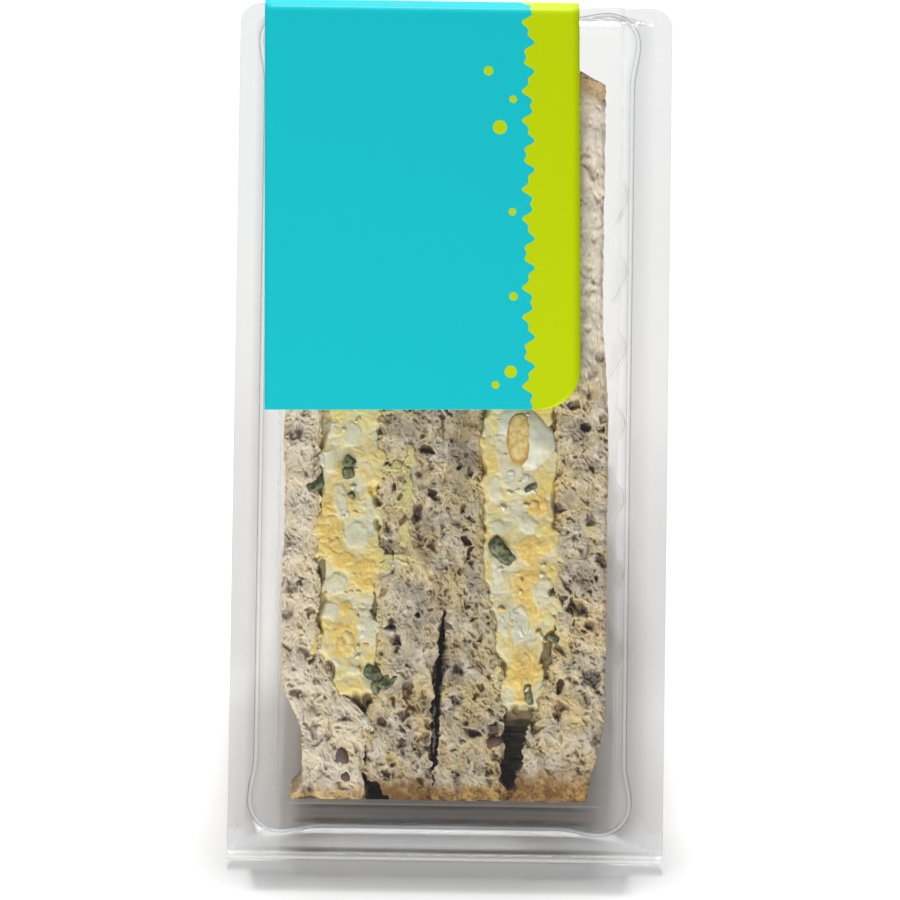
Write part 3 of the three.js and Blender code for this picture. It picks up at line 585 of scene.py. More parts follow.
# Egg filling
# Two bands of boiled egg mashed with mayonnaise. The mash is a grid of closed rings like the slices',
# set in from the crusts, its front heaped in soft lumps. Paler lumps are bits of egg white and deeper
# yellow ones are yolk.
FILLING_FACE = 1.9
FRONT_LIMIT = 3.3
FILLING_OVERLAP = 4.6
# Corners across its front, across its back and down its left and its right side
FILLING_STEPS = (104, 16, 10, 10)
# The slices beside it, how far in from the crust it starts, where its front comes up to the cut, and a seed
FILLINGS = {
    "egg_filling_left": ("bread_1_right", "bread_2_left", 10.5, 33.5, 11),
    "egg_filling_right": ("bread_3_right", "bread_4_left", 12, 31.5, 23),
}
# Size of soft swells, then of lumps with creases between, their height in mm, and how their tones differ
SWELLS = ((5, 0.9, 0.35), (2.4, 0.5, 0.4))
LUMPS = ((1.5, 0.3, 0.2), (0.7, 0.18, 0.2))
CREASE = 0.16
# Height in mm and tone of the mash before its swells, and the share of its lumps that white flattens
MASH_LEVEL, MASH_TONE, WHITE_FLATTENS = -0.2, 0.55, 0.4
# How high in mm bits of white and of yolk stand in it
WHITE_RISE, YOLK_RISE = 0.3, 0.25
# Where the mash is lower than the cut: x, y, width, length; and by how much
BITES = (
    (21.7, 42.5, 4.4, 13), (22, 92.5, 3.4, 12), (9, 47, 3, 6), (-27.4, 62, 2, 6), (-15.4, 55, 2, 8),
    (-24.6, 40, 3, 6),
)
BITE_DEPTH = 1.3
# Where the mash spreads over the bread, how far in mm, and the size and the reach of its edge's waves
SPREADS = (
    (-13.4, 51.5, 6, 9), (-14, 63, 5, 8), (-15, 84, 5, 8), (-28.4, 71, 4, 6), (23.6, 66, 5, 12),
    (-13.6, 73, 4, 5), (-28.6, 46, 3.4, 5), (8.6, 86, 3, 8), (22.8, 55, 4, 5), (10, 40, 3, 6),
)
SPREAD_REACH = 2.2
EDGE_WAVE = (6, 1.5)
# Its front rises from its edge: from how far below the cut, how high, from where out, and over what width
EDGE_RISE = (3, 3.3, 1.1, 1.7)
# How far its front sinks at its ends: by how much, from where past the end, and over what length
END_SINKS = ((1.9, 0, 2.4), (5, 5, 5))
# Where whites, yolks and greens lie in the mash: x, y, width, length
WHITE_PLACES = (
    (-25.9, 84.8, 4.6, 5.4), (-23, 75.6, 3.4, 9), (-19.8, 68.6, 5.4, 5.4), (-24, 58.2, 5.6, 4.6),
    (-25.6, 52.8, 4.4, 4), (-17, 49.1, 4.8, 9), (-23.7, 42, 2.2, 2.6), (-19.3, 40.5, 3.8, 2.6),
    (-16.9, 29.4, 4.6, 6.4), (-26, 91.4, 3.4, 4.2), (13.2, 82, 5, 5.4), (16.2, 80.4, 5, 4.8),
    (10, 79, 3.4, 6), (9.9, 71.3, 4, 3.4), (10.3, 62, 3, 5.4), (20, 57.5, 5, 7), (11.9, 50.5, 3, 7),
    (15, 50.4, 3.2, 9.6), (16.4, 71.5, 4.4, 4), (14.6, 89, 10, 12), (-21, 90, 4, 5), (11, 86, 3, 9),
)
YOLK_PLACES = (
    (-25.2, 70.3, 5.8, 13.4), (-21.9, 46.6, 6.4, 8.8), (-18.1, 60.4, 5.8, 8.6), (18.4, 76.1, 5.4, 5),
    (16.6, 41, 6.4, 9), (17.3, 58, 9, 13), (17.4, 66.4, 7, 7), (16, 35.6, 4, 4), (-22.4, 63.6, 4, 4),
    (-22, 53, 4, 3),
)
GREEN_PLACES = (
    (-21.4, 83.8, 5.4, 6), (-28.3, 79.4, 4, 3.6), (-14.4, 38.8, 7.8, 6.8), (10.6, 66.3, 6.4, 7),
    (22.4, 47.5, 3, 3), (17.3, 35.5, 2.6, 5), (-20.4, 76.8, 2.6, 2.4), (17.2, 79.6, 3.4, 2),
    (16, 30.6, 5, 5),
)

filling_material, filling_shader, filling = new_material(
    "egg_filling",
    {
        "Roughness": 0.5,
        "Specular IOR Level": 0.3,
        "Subsurface Weight": 0.4,
        "Subsurface Radius": (1, 0.95, 0.7),
        "Subsurface Scale": 1.5 * MM,
    },
)
tone = filling.value("tone")
speckle = filling.noise(0.7, 3.0)
mottled = tone + 0.6 * (speckle - 0.5)
mash = mottled.step(0.05, 0.55).mix(colour(228, 228, 204), colour(240, 228, 172))
mash = mottled.step(0.45, 1).mix(mash, colour(248, 222, 134))
yolky = (filling.value("yolk") + 1.2 * (speckle - 0.5)).step(-0.5, 0.8)
mash = yolky.mix(mash, speckle.step(0.35, 0.65).mix(colour(248, 222, 134), colour(244, 206, 112)))
whitish = (filling.value("white") + 1.2 * (speckle - 0.5)).step(-0.4, 0.8)
mash = whitish.mix(mash, speckle.step(0.35, 0.65).mix(colour(230, 229, 202), colour(238, 233, 198)))
mash = (filling.value("green").step(0.1, 0.9) * 0.6).mix(mash, colour(122, 128, 82))
# Painted shade in the creases between lumps
mash = (filling.value("crease_shade").step(0.1, 0.6) * 0.35).mix(mash, colour(168, 148, 96))
# Painted shade where the mash sinks below the cut, near black where it sinks deepest
mash = filling.value("low").step(0, 1).mix(mash, colour(120, 102, 66))
mash = filling.value("low").step(1.2, 2.6).mix(mash, colour(34, 30, 24))
set_surface(filling_shader, mash, 0.35, 0.2, speckle)


def mash_rings(name):
    """Rings of a filling and its values: swells are noise, lumps |noise|, with creases where it is 0."""
    left_name, right_name, inset, front_from, seed = FILLINGS[name]
    shift = inset * SQRT2
    start = BREAD_BOTTOM + shift - FILLING_FACE + 1
    rows = slice_rows()
    rows = rows[(rows > start) & (rows < BREAD_BOTTOM + BREAD_TOP - start)]
    w, v = ring_parameters(*FILLING_STEPS)
    y = rows[:, None] + 0 * w
    corner = BREAD_BOTTOM - BREAD_MIDDLE + CORNER_RADIUS
    bottom = np.minimum(np.maximum(crust_line(y), corner) + shift, FILLING_FACE - 1.6)
    z = bottom + (FILLING_FACE - bottom) * v**CRUST_BIAS
    left_x = face_x(left_name, y, z)
    right_x = face_x(right_name, y, z)
    x = left_x - FILLING_OVERLAP + (right_x - left_x + 2 * FILLING_OVERLAP) * w
    points = np.stack([x, y, z], axis=-1)
    bent = bent_by_noise(bent_by_noise(points, 2.4, 0.9, seed), 0.8, 0.3, seed + 3)
    height = MASH_LEVEL
    tone = MASH_TONE
    crease_shade = 0
    for step, (size, rise, contrast) in enumerate(SWELLS):
        swell = noise(bent / size, seed + 80 + step)
        height = height + 0.5 * rise * swell
        tone = tone + contrast * swell
    for step, (size, rise, contrast) in enumerate(LUMPS):
        lump = noise(bent / size, seed + 70 + step)
        height = height + rise * np.minimum(np.abs(lump), 0.7)
        tone = tone + contrast * lump
        crease_shade = crease_shade + rise * (1 - smoothstep(np.abs(lump) / CREASE))
    tables = (WHITE_PLACES, YOLK_PLACES, GREEN_PLACES, BITES, SPREADS)
    white, yolk, green, low, spread = (spots(bent[..., 0], bent[..., 1], places) for places in tables)
    height = height * (1 - WHITE_FLATTENS * smoothstep(white))
    height = height + WHITE_RISE * smoothstep(white * 2) + YOLK_RISE * smoothstep(yolk * 2)
    ragged = 1.3 * noise(points / 3.2, seed + 60) + 0.9 * noise(points / 1.2, seed + 61)
    wave_size, wave_reach = EDGE_WAVE
    wave = wave_reach * noise(points / wave_size, seed + 62)
    edge = np.minimum(x - left_x, right_x - x) + ragged + SPREAD_REACH * smoothstep(1.4 * spread) + wave
    end = np.minimum(y - front_from, BREAD_BOTTOM + BREAD_TOP - front_from - y) + 1.4 * ragged
    sunk = 0
    for sink, past, length in END_SINKS:
        sunk = sunk + sink * (1 - smoothstep((end + past) / length))
    sunk = sunk + BITE_DEPTH * smoothstep(low * 2)
    below, rise, out, width = EDGE_RISE
    level = BREAD_FACE - below + rise * smoothstep((edge + out) / width) - sunk
    front = np.clip(level + 0.8 * height, bottom + 0.1, FRONT_LIMIT)
    points[..., 2] = np.where(v == 1, front, points[..., 2])
    values = {
        "tone": tone,
        "white": white,
        "yolk": yolk,
        "green": green,
        "crease_shade": crease_shade * (v == 1) * (1 - 0.6 * smoothstep(white)),
        # How far the front sinks, which its painted shade follows
        "low": 0.6 * sunk,
    }
    return points, values


for name in FILLINGS:
    rings, values = mash_rings(name)
    add_rings(name.replace("filling", "mash"), rings, filling_material, [name], values)

# Egg white
# Boiled egg white, chopped: firm, smooth and a little bluish, with flat cut sides and soft corners.
# Each bit is a ball flattened by a few random cuts, then stretched, turned and set into the mash.
BALLS = {}
# Where the cuts lie, as shares of a ball's radius, how sharp their edges are, and the scale that makes up
# for what they take away
CUT_REACH, CUT_SHARPNESS, CUT_REGROWN = (0.55, 0.85), 5, 1.12


def ball(level):
    """Corners and triangles of a sphere of radius 1, each face of an icosahedron divided level times."""
    if level not in BALLS:
        shape = bmesh.new()
        bmesh.ops.create_icosphere(shape, subdivisions=level, radius=1)
        points = np.array([vertex.co[:] for vertex in shape.verts])
        triangles = np.array([[vertex.index for vertex in face.verts] for face in shape.faces])
        shape.free()
        BALLS[level] = points, triangles
    return BALLS[level]


def lumps(pieces, level, cuts, roughness, rough_size, seed):
    """Joined balls: radius = min over cuts of t / (d . n), roughened by noise, scaled, turned and moved."""
    random = np.random.default_rng(seed)
    unit, triangles = ball(level)
    all_points = []
    all_triangles = []
    for number, (x, y, z, width, length, height, turn) in enumerate(pieces):
        normals = random.normal(size=(cuts, 3))
        normals /= np.linalg.norm(normals, axis=1)[:, None]
        reach = random.uniform(*CUT_REACH, cuts)
        facing = np.maximum(unit @ normals.T, 0.05)
        radius = (1 + ((facing / reach) ** CUT_SHARPNESS).sum(axis=1)) ** (-1 / CUT_SHARPNESS)
        shaped = unit * radius[:, None] * np.array([width, length, height]) / 2 * CUT_REGROWN
        swell = noise(shaped / rough_size + 31 * number, seed)
        swell = swell + 0.5 * noise(shaped / rough_size * 2.3, seed + 1)
        shaped = shaped + unit * (roughness * swell)[:, None]
        cos, sin = np.cos(turn), np.sin(turn)
        turned = shaped @ np.array([[cos, sin, 0], [-sin, cos, 0], [0, 0, 1]])
        all_triangles.append(triangles + number * len(unit))
        all_points.append(turned + np.array([x, y, z]))
    return np.concatenate(all_points), np.zeros((0, 4), int), np.concatenate(all_triangles)


# Where small bits lie across a filling, as shares of its width, and how far in mm out of its face
BITS_ACROSS, BITS_OUT = (0.12, 0.88), (-0.5, 0.1)


def between(names, y, share):
    """x at a share of the way across a filling, at a height y on the cut."""
    left, right = (face_x(name, y, BREAD_FACE) for name in names)
    return left + (right - left) * share


def scattered(name, count, sizes, low, high, seed):
    """Small bits strewn over a filling's front: seeded places, sizes and turns."""
    random = np.random.default_rng(seed)
    left_name, right_name, _, _, _ = FILLINGS[name]
    bits = []
    for _ in range(count):
        y = random.uniform(low, high)
        x = between((left_name, right_name), y, random.uniform(*BITS_ACROSS))
        size = random.uniform(*sizes, 3)
        bits.append((x, y, FILLING_FACE + random.uniform(*BITS_OUT), *size, random.uniform(0, np.pi)))
    return bits


LARGE_WHITE = [(15.6, 90.2, 1.0, 13.4, 13.6, 4.2, -0.5)]
WHITES = [
    (-25.9, 84.8, 0.9, 3.8, 4.6, 1.9, 0.2), (-22.8, 77.4, 0.9, 2.4, 5, 1.8, 0.2),
    (-22, 73.4, 0.9, 2.2, 4.6, 1.8, 0.6), (-19.8, 68.6, 0.9, 4.4, 4.4, 1.7, 0.5),
    (-17, 49.1, 1.1, 3.6, 7.4, 1.9, 0.1), (-17, 29.2, 1.1, 3.4, 4.8, 1.9, 0.2),
    (13, 82.2, 1.3, 3.6, 4, 1.8, 0.5), (16.2, 80.8, 1.3, 3.6, 3.6, 1.8, 1),
    (10, 79.4, 1, 2, 3.8, 1.7, 0.2), (10, 71.3, 1.2, 3, 2.4, 1.7, 0),
    (11.9, 50.5, 1.2, 2, 5.8, 1.9, 0.3), (15, 50.4, 1.2, 2.2, 8, 1.9, 0.25),
]
white_material, white_shader, white = new_material(
    "egg_white",
    {
        "Roughness": 0.38,
        "Specular IOR Level": 0.5,
        "Subsurface Weight": 0.5,
        "Subsurface Radius": (0.9, 0.9, 0.8),
        "Subsurface Scale": 1.6 * MM,
    },
)
white_tone = white.noise(2.6, 2.0).step(0.35, 0.65).mix(colour(240, 239, 220), colour(226, 227, 208))
smeared = white.noise(1.6, 3.0).step(0.48, 0.66) * 0.8
set_surface(white_shader, smeared.mix(white_tone, colour(240, 231, 184)), 0.3, 0.2, white.noise(0.8, 3.0))

large_white = lumps(LARGE_WHITE, 5, 4, 0.3, 2.6, 5)
add_piece("large_white", large_white, white_material, ["egg_white_piece"])
add_piece("egg_white_bits", lumps(WHITES, 4, 4, 0.45, 1.3, 8), white_material)
small_whites = scattered("egg_filling_left", 30, (0.7, 1.8), 40, 146, 3)
small_whites += scattered("egg_filling_right", 35, (0.7, 1.9), 36, 148, 4)
add_piece("egg_white_crumbs", lumps(small_whites, 3, 4, 0.2, 0.7, 9), white_material)

# Egg yolk
# Hard-boiled yolk, dry and crumbly, yellow to light orange, in one half-round bit and many broken ones.
LARGE_YOLK = [(14.5, 90.2, 2.5, 5, 11.4, 1.9, -0.05)]
YOLKS = [
    (-25.2, 72.6, 1.2, 4, 5.4, 2, 0.2), (-24.6, 67.2, 1.2, 4.2, 5, 1.9, 0.1),
    (-21.9, 46.6, 1.2, 4.8, 7, 2.1, 0.3), (-18.3, 61.4, 1.2, 4, 4.4, 1.8, 0),
    (-9.7, 38.6, 1.2, 1.6, 2.4, 1, 0.3), (18.2, 76.1, 1.3, 4.4, 4, 2, 0),
    (15.8, 42.6, 1.3, 3.6, 4, 1.9, 0.2), (17.2, 38.6, 1.3, 3.4, 4, 1.9, 0.9),
    (11.7, 81.8, 1.6, 1.6, 2, 1.2, 0),
]
yolk_material, yolk_shader, yolk = new_material("egg_yolk", {"Roughness": 0.6, "Specular IOR Level": 0.3})
yolk_tone = yolk.noise(1.2, 4.0).step(0.36, 0.64).mix(colour(242, 226, 158), colour(226, 186, 98))
yolk_tone = (yolk.value("rim") * 0.7).mix(yolk_tone, colour(176, 128, 58))
set_surface(yolk_shader, yolk_tone, 0.5, 0.2, yolk.noise(0.5))

large_yolk = lumps(LARGE_YOLK, 4, 3, 0.2, 0.9, 7)
yolk_x, yolk_y, _, yolk_width, yolk_length, _, _ = LARGE_YOLK[0]
half_size = np.array([yolk_width, yolk_length]) / 2
edgewise = np.linalg.norm((large_yolk[0][:, :2] - [yolk_x, yolk_y]) / half_size, axis=1)
RIM_START, RIM_BLEND = 0.72, 0.3
rim = {"rim": smoothstep((edgewise - RIM_START) / RIM_BLEND)}
add_piece("large_yolk", large_yolk, yolk_material, ["egg_yolk_piece"], rim)
add_piece("egg_yolk_bits", lumps(YOLKS, 4, 4, 0.32, 0.9, 12), yolk_material)
small_yolks = scattered("egg_filling_left", 40, (0.5, 1.5), 40, 146, 13)
small_yolks += scattered("egg_filling_right", 50, (0.5, 1.6), 36, 148, 14)
add_piece("egg_yolk_crumbs", lumps(small_yolks, 3, 3, 0.18, 0.5, 15), yolk_material)

# Chives
# Short lengths of fresh chive, hollow and dark green, bruised and pressed into the egg at all angles.
# Each is a flattened tube with rounded ends, its thin wall turned over into the bore.
CHIVES = [
    (-21.4, 84.2, 1.9, 1.3, 2.6, 1.1, 0.2), (-21.6, 82, 1.9, 1.2, 2.4, 0.3, 0.3),
    (-28.4, 79.2, 2.1, 1.1, 3.8, 2.1, 0.1), (-20.8, 77.2, 1.9, 0.7, 1.6, 0.6, 0.4),
    (-15.6, 39.6, 1.6, 1.5, 4.4, 1.2, 0.3), (-12.4, 38.2, 1.6, 1.4, 4.6, 2.4, 0.2),
    (-14.8, 36.4, 1.5, 1.2, 3.4, 0.4, 0.2), (10.9, 65.6, 1.8, 1.75, 6.8, 0.75, 0.2),
    (22.2, 47.5, 1.9, 0.8, 2.6, 1.2, 0.1), (17.1, 35.6, 1.8, 0.8, 4.4, 0.2, 0.1),
    (17, 79.4, 2.3, 0.6, 2.8, -1.1, 0.1), (-31.5, 58.2, 1.9, 0.6, 1.6, 0.4, 0.1),
    (-11.6, 84, 1.9, 0.4, 1.8, 0.5, 0.1), (-10.6, 77, 1.9, 0.4, 1.6, -0.6, 0.1),
]
chive_material, chive_shader, chive = new_material("chive", {"Roughness": 0.4, "Specular IOR Level": 0.4})
chive_tone = chive.noise(1.1, 3.0).step(0.38, 0.62).mix(colour(60, 70, 42), colour(132, 136, 92))
chive_tone = chive.value("rim").mix(chive_tone, colour(46, 54, 34))
set_surface(chive_shader, chive_tone, 0.5, 0.2, chive.noise(0.6, 2.0))
STATIONS = np.array([-0.5, -0.47, -0.38, -0.2, 0.2, 0.38, 0.47, 0.5])
STATION_SCALE = np.array([0.55, 0.76, 0.94, 1, 1, 0.94, 0.76, 0.55])
WALL_SHARE = 0.6
# Height of a pressed tube as a share of its width, how it bends, and its crumples: size, reach, height
PRESSED, CHIVE_BEND = 0.6, 0.06
CRUMPLE_SIZE, CRUMPLE_ACROSS, CRUMPLE_HEIGHT = 0.9, 0.14, 0.35
CHIVE_ANGLES = np.linspace(0, 2 * np.pi, 24, endpoint=False)


def chive_tube(number, x, y, z, radius, length, turn, tilt):
    """Corners of one tube: an oval ring swept along its axis, out on the skin and back through the bore."""
    stations = np.append(STATIONS, STATIONS[::-1])
    scale = np.append(STATION_SCALE, STATION_SCALE[::-1] * WALL_SHARE)
    ring_x = np.outer(scale, radius * np.cos(CHIVE_ANGLES))
    ring_z = np.outer(scale, PRESSED * radius * np.sin(CHIVE_ANGLES))
    along = (stations * length)[:, None] + 0 * ring_x
    crumple = noise(np.stack([ring_x, along, ring_z], axis=-1) / CRUMPLE_SIZE + 7 * number, 91)
    side = ring_x * (1 + CRUMPLE_ACROSS * crumple) + CHIVE_BEND * along**2
    ring_z = ring_z * (1 + CRUMPLE_HEIGHT * crumple)
    tilted_y = along * np.cos(tilt) - ring_z * np.sin(tilt)
    tilted_z = along * np.sin(tilt) + ring_z * np.cos(tilt)
    cos, sin = np.cos(turn), np.sin(turn)
    turned = [x + side * cos - tilted_y * sin, y + side * sin + tilted_y * cos, z + tilted_z]
    return np.stack(turned, axis=-1)


def chive_shape():
    """All tubes joined, each a grid closed both ways."""
    points = []
    quads = []
    for number, piece in enumerate(CHIVES):
        rings = chive_tube(number, *piece)
        rows, columns, _ = rings.shape
        shut = np.concatenate([rings, rings[:1]])
        faces = grid_faces(rows + 1, columns, True) % (rows * columns)
        points.append(shut[:-1].reshape(-1, 3))
        quads.append(faces + number * rows * columns)
    return np.concatenate(points), np.concatenate(quads), np.zeros((0, 3), int)


edges = np.tile(np.abs(np.cos(CHIVE_ANGLES)), 2 * len(STATIONS) * len(CHIVES))
add_piece("chives", chive_shape(), chive_material, values={"rim": smoothstep((edges - 0.8) / 0.2)})

# Seeds
# A few whole seeds baked into the crumb, smooth and dark, sunk in the cut face to about half.
SEEDS = [
    (-22, 22.1, 1.5, 2.6, 3.8, 1.8, 0.3), (-21.1, 17.9, 1.3, 2.2, 2.2, 1.6, 0.9),
    (9.9, 25.4, 1.2, 4, 2.4, 1.8, 0.3), (0.3, 49.9, 1.3, 1.8, 2.4, 1.2, 0.2),
]
seed_material, seed_shader, seed = new_material("seed", {"Roughness": 0.6, "Specular IOR Level": 0.3})
seed_tone = seed.noise(2.2).step(0.4, 0.6).mix(colour(104, 94, 90), colour(112, 76, 54))
link(seed_shader, "Base Color", seed_tone)
add_piece("seeds", lumps(SEEDS, 3, 0, 0.15, 0.9, 21), seed_material)

# Tray
# Clear plastic, pressed from one sheet: a wedge with two square legs, flutes in its right wall, a flat
# flange. Both skins are height fields over the flange, z = -depth; walls are columns that share one x.
FLANGE_HALF_WIDTH = 46
FLANGE_HEIGHT = 182
FLANGE_TOP_RADIUS = 4.5
OPENING_LEFT, OPENING_RIGHT, OPENING_TOP = -35.9, 35.1, 176.9
TRAY_CORNER_RADIUS = 3
APEX_RADIUS = 5
FLUTES = 45.1 + 16.1 * np.arange(7)
FLUTE_RADIUS = 4.45
FLUTE_DEPTH = 1.7
FLUTE_END_MARGIN = 6
FLUTE_END_ROUNDING = 1.2
RIM_STEP = 0.006
FLAT_EDGE_ANGLE = 35
# Corners of the clear sheet nearer than this, in metres, are one
SAME_PLACE = 1e-7


def wedge_depth(y, offset):
    """Depth of the wedge behind the front: two legs at 45 degrees, a flat on the floor and a round apex."""
    front = OPENING_BOTTOM - offset * SQRT2
    back = OPENING_TOP + offset * SQRT2
    floor = -SHIFT_Z + TRAY_WALL - offset
    flat_start = (floor - front * COS_LEAN) / (SIN_LEAN - COS_LEAN)
    corner = (floor + back * COS_LEAN) / (SIN_LEAN + COS_LEAN)
    radius = APEX_RADIUS + offset
    start = np.array([corner - radius * COS_LEAN, corner - back + radius * SIN_LEAN])
    middle = np.array([corner, corner - back])
    end = middle + radius / SQRT2
    t = np.linspace(0, 1, 12)[:, None]
    arc = (1 - t) ** 2 * start + 2 * t * (1 - t) * middle + t**2 * end
    line_y = np.concatenate([[front, flat_start], arc[:, 0], [back]])
    line_z = np.concatenate([[0, front - flat_start], arc[:, 1], [0]])
    return -np.interp(y, line_y, line_z)


def flute_reach(y, z, offset):
    """How far the right wall stands out: sqrt(R^2 - dy^2) - (R - depth) in a flute, fading at its end."""
    reach = 0
    radius = FLUTE_RADIUS + offset
    for centre in FLUTES:
        bulge = np.sqrt(np.maximum(radius**2 - (y - centre) ** 2, 0)) - (radius - FLUTE_DEPTH)
        length = min(centre - OPENING_BOTTOM, OPENING_TOP - centre) - FLUTE_END_MARGIN
        fade = smoothstep((length + z) / FLUTE_END_ROUNDING + 0.5)
        reach = np.maximum(reach, bulge * fade)
    return reach


def tray_skin(offset):
    """One skin of the tray, the inner at offset 0: rows up the front, columns across and down its walls."""
    left, right = OPENING_LEFT - offset, OPENING_RIGHT + offset
    radius = TRAY_CORNER_RADIUS + offset
    flute_rows = (FLUTES[:, None] + np.linspace(-3.9, 3.9, 17)).ravel()
    rows = np.concatenate(
        [
            np.linspace(TRAY_FLANGE_BOTTOM, OPENING_BOTTOM - 0.4, 42),
            OPENING_BOTTOM - offset * SQRT2 + np.array([0, 0.25, 0.7, 1.4, 2.2, 3.2, 4.4, 6, 9, 14, 20]),
            np.linspace(27, 38, 5),
            flute_rows,
            np.linspace(150, 168, 8),
            OPENING_TOP + offset * SQRT2 - np.array([6, 4.4, 3.2, 2.2, 1.4, 0.7, 0.25, 0]),
            FLANGE_HEIGHT - FLANGE_TOP_RADIUS * np.array([1, 0.8, 0.6, 0.4, 0.25, 0.12, 0.04, 0]),
        ]
    )
    rows.sort()
    t = radius * (1 - np.cos(np.linspace(0, np.pi / 2, 7)))
    inset = radius - np.sqrt(radius**2 - (radius - t) ** 2)
    wall = np.append(0, RIM_STEP + (1 - RIM_STEP) * np.linspace(0, 1, 18) ** 1.3)
    middle = np.linspace(left + radius, right - radius, 12)[1:-1]
    y = rows[:, None]
    over = np.maximum(y - (FLANGE_HEIGHT - FLANGE_TOP_RADIUS), 0)
    half = FLANGE_HALF_WIDTH - FLANGE_TOP_RADIUS + np.sqrt(np.maximum(FLANGE_TOP_RADIUS**2 - over**2, 0))
    depth = np.maximum(wedge_depth(y, offset), 0)
    wall_depth = np.maximum(depth - radius * SQRT2, 0)
    bevel_depth = np.maximum(depth - inset * SQRT2, 0)
    flat = np.array([0, 0.35, 0.65, 0.88, 0.97])
    wall_z = -wall_depth * wall
    right_wall_x = right + flute_reach(y, wall_z, offset) * (wall_depth > 0)
    x = np.concatenate(
        [
            -half + (left + half) * flat,
            left + 0 * wall_z,
            left + t[1:] + 0 * y,
            middle + 0 * y,
            right - t[:0:-1] + 0 * y,
            right_wall_x[:, ::-1],
            right_wall_x[:, :1] + (half - right_wall_x[:, :1]) * (1 - flat[::-1]),
        ],
        axis=1,
    )
    z = np.concatenate(
        [
            0 * y + 0 * flat,
            wall_z,
            -bevel_depth[:, 1:],
            -depth + 0 * middle,
            -bevel_depth[:, :0:-1],
            wall_z[:, ::-1],
            0 * y + 0 * flat,
        ],
        axis=1,
    )
    return np.stack([x, y + 0 * x, np.minimum(z, -offset)], axis=-1)


def skins_shape(front, back):
    """Two skins of one grid size, joined round their outer edges into a closed sheet."""
    rows, columns, _ = front.shape
    number = np.arange(rows * columns).reshape(rows, columns)
    edge = np.concatenate([number[0, :-1], number[:-1, -1], number[-1, :0:-1], number[:0:-1, 0]])
    after = np.roll(edge, -1)
    total = rows * columns
    quads = grid_faces(rows, columns, False)
    rim = np.stack([edge, edge + total, after + total, after], axis=-1)
    points = np.concatenate([front.reshape(-1, 3), back.reshape(-1, 3)])
    return points, np.concatenate([quads, quads[:, ::-1] + total, rim]), np.zeros((0, 3), int)


def clean(piece):
    """Joins corners at one place and removes the faces without area that this leaves."""
    shape = bmesh.new()
    shape.from_mesh(piece.data)
    bmesh.ops.remove_doubles(shape, verts=shape.verts, dist=SAME_PLACE)
    bmesh.ops.dissolve_degenerate(shape, edges=shape.edges, dist=SAME_PLACE)
    shape.to_mesh(piece.data)
    shape.free()


# The share of light that a clear sheet mirrors seen straight on, seen edge on, and where its painted glint
# is 1
HAZE, EDGE_MIRROR, GLINT_MIRROR = 0.02, 0.16, 0.7


def clear_plastic(name, tint):
    """Clear sheet: light goes straight through, and a part is mirrored, more where it is seen edge on.

    The values line and glint paint the dark and the bright lines that bends in such a sheet show: painted
    shade and painted highlights."""
    settings = {"Base Color": (0.9, 0.91, 0.92, 1), "Specular IOR Level": 0.6}
    made, shader, start = new_material(name, settings)
    line = start.value("line")
    glint = start.value("glint")
    # A glint makes the sheet mirror more, rougher and less like metal: a painted highlight
    link(shader, "Metallic", 0.6 * (1 - glint.step(0, 0.2)))
    link(shader, "Roughness", 0.08 + 0.35 * glint)
    facing = start.node("ShaderNodeLayerWeight", {}, {"Blend": 0.5}, "Facing")
    clear = start.node("ShaderNodeBsdfTransparent", {}, {"Color": (tint, tint, tint, 1)})
    # Painted shade: where line is 1 the sheet lets through only this much
    dark = start.node("ShaderNodeBsdfTransparent", {}, {"Color": (0.3, 0.3, 0.31, 1)})
    through = start.node("ShaderNodeMixShader", {}, {0: line.math("MINIMUM", line, 1), 1: clear, 2: dark})
    share = HAZE + EDGE_MIRROR * facing**4 + GLINT_MIRROR * glint
    share = share.math("MINIMUM", share, 1)
    mirror = Shade(made.node_tree, shader.outputs[0])
    sheet = start.node("ShaderNodeMixShader", {}, {0: share, 1: through, 2: mirror})
    link(made.node_tree.nodes["Material Output"], "Surface", sheet)
    return made


# How bright the painted highlight along the opening's rim is on its left, on its right and below
RIM_GLINTS = (0.5, 0.3, 0.25)
RIM_WIDTH = 0.05
# Painted dark reflection of the crusts in streaks across the flange below the opening: y, width and
# darkness
STREAKS = ((11.7, 0.8, 0.85), (8.4, 0.8, 1.1), (10.1, 0.6, 0.35))
STREAKS_LEFT, STREAKS_RIGHT, STREAKS_FADE = -31, 29, 4
PANEL_MIDDLE = -1.3
PANEL_HALF_WIDTH = 39.5
# Darkening of the flange on the left and the right: all the way up, painted shade more below, and from
# where
FLANGE_TONE_AND_SHADE = ((0.09, 0.03), (0.18, 0.18), (130, 100))
SHADE_DEEPEST_AT = 60
# Where its foot is clear, and over what height that changes
CLEAR_FOOT = (30, 16)
# How dark the painted shade on the strip between the opening and the panel's left edge is, from where up,
# and over what height
STRIP_SHADE = (0.2, 48, 24)
# How dark the flutes' painted lines on the front and painted shade on the wall are, and the left wall's
FLUTE_FRONT_LINE, FLUTE_WALL_LINE, LEFT_WALL_SHADE = 0.4, 0.12, 0.12


def flange_tone_and_shade(x, y):
    """Flange darkening beside the panel: base + painted shade more * smoothstep downwards, clear at its
    foot.
    """
    beside = smoothstep((np.abs(x - PANEL_MIDDLE) - PANEL_HALF_WIDTH + 2) / 2)
    base, more, top = (np.where(x > 0, right, left) for left, right in FLANGE_TONE_AND_SHADE)
    level = base + more * smoothstep((top - y) / (top - SHADE_DEEPEST_AT))
    clear_to, blend = CLEAR_FOOT
    return beside * level * smoothstep((y - clear_to) / blend)


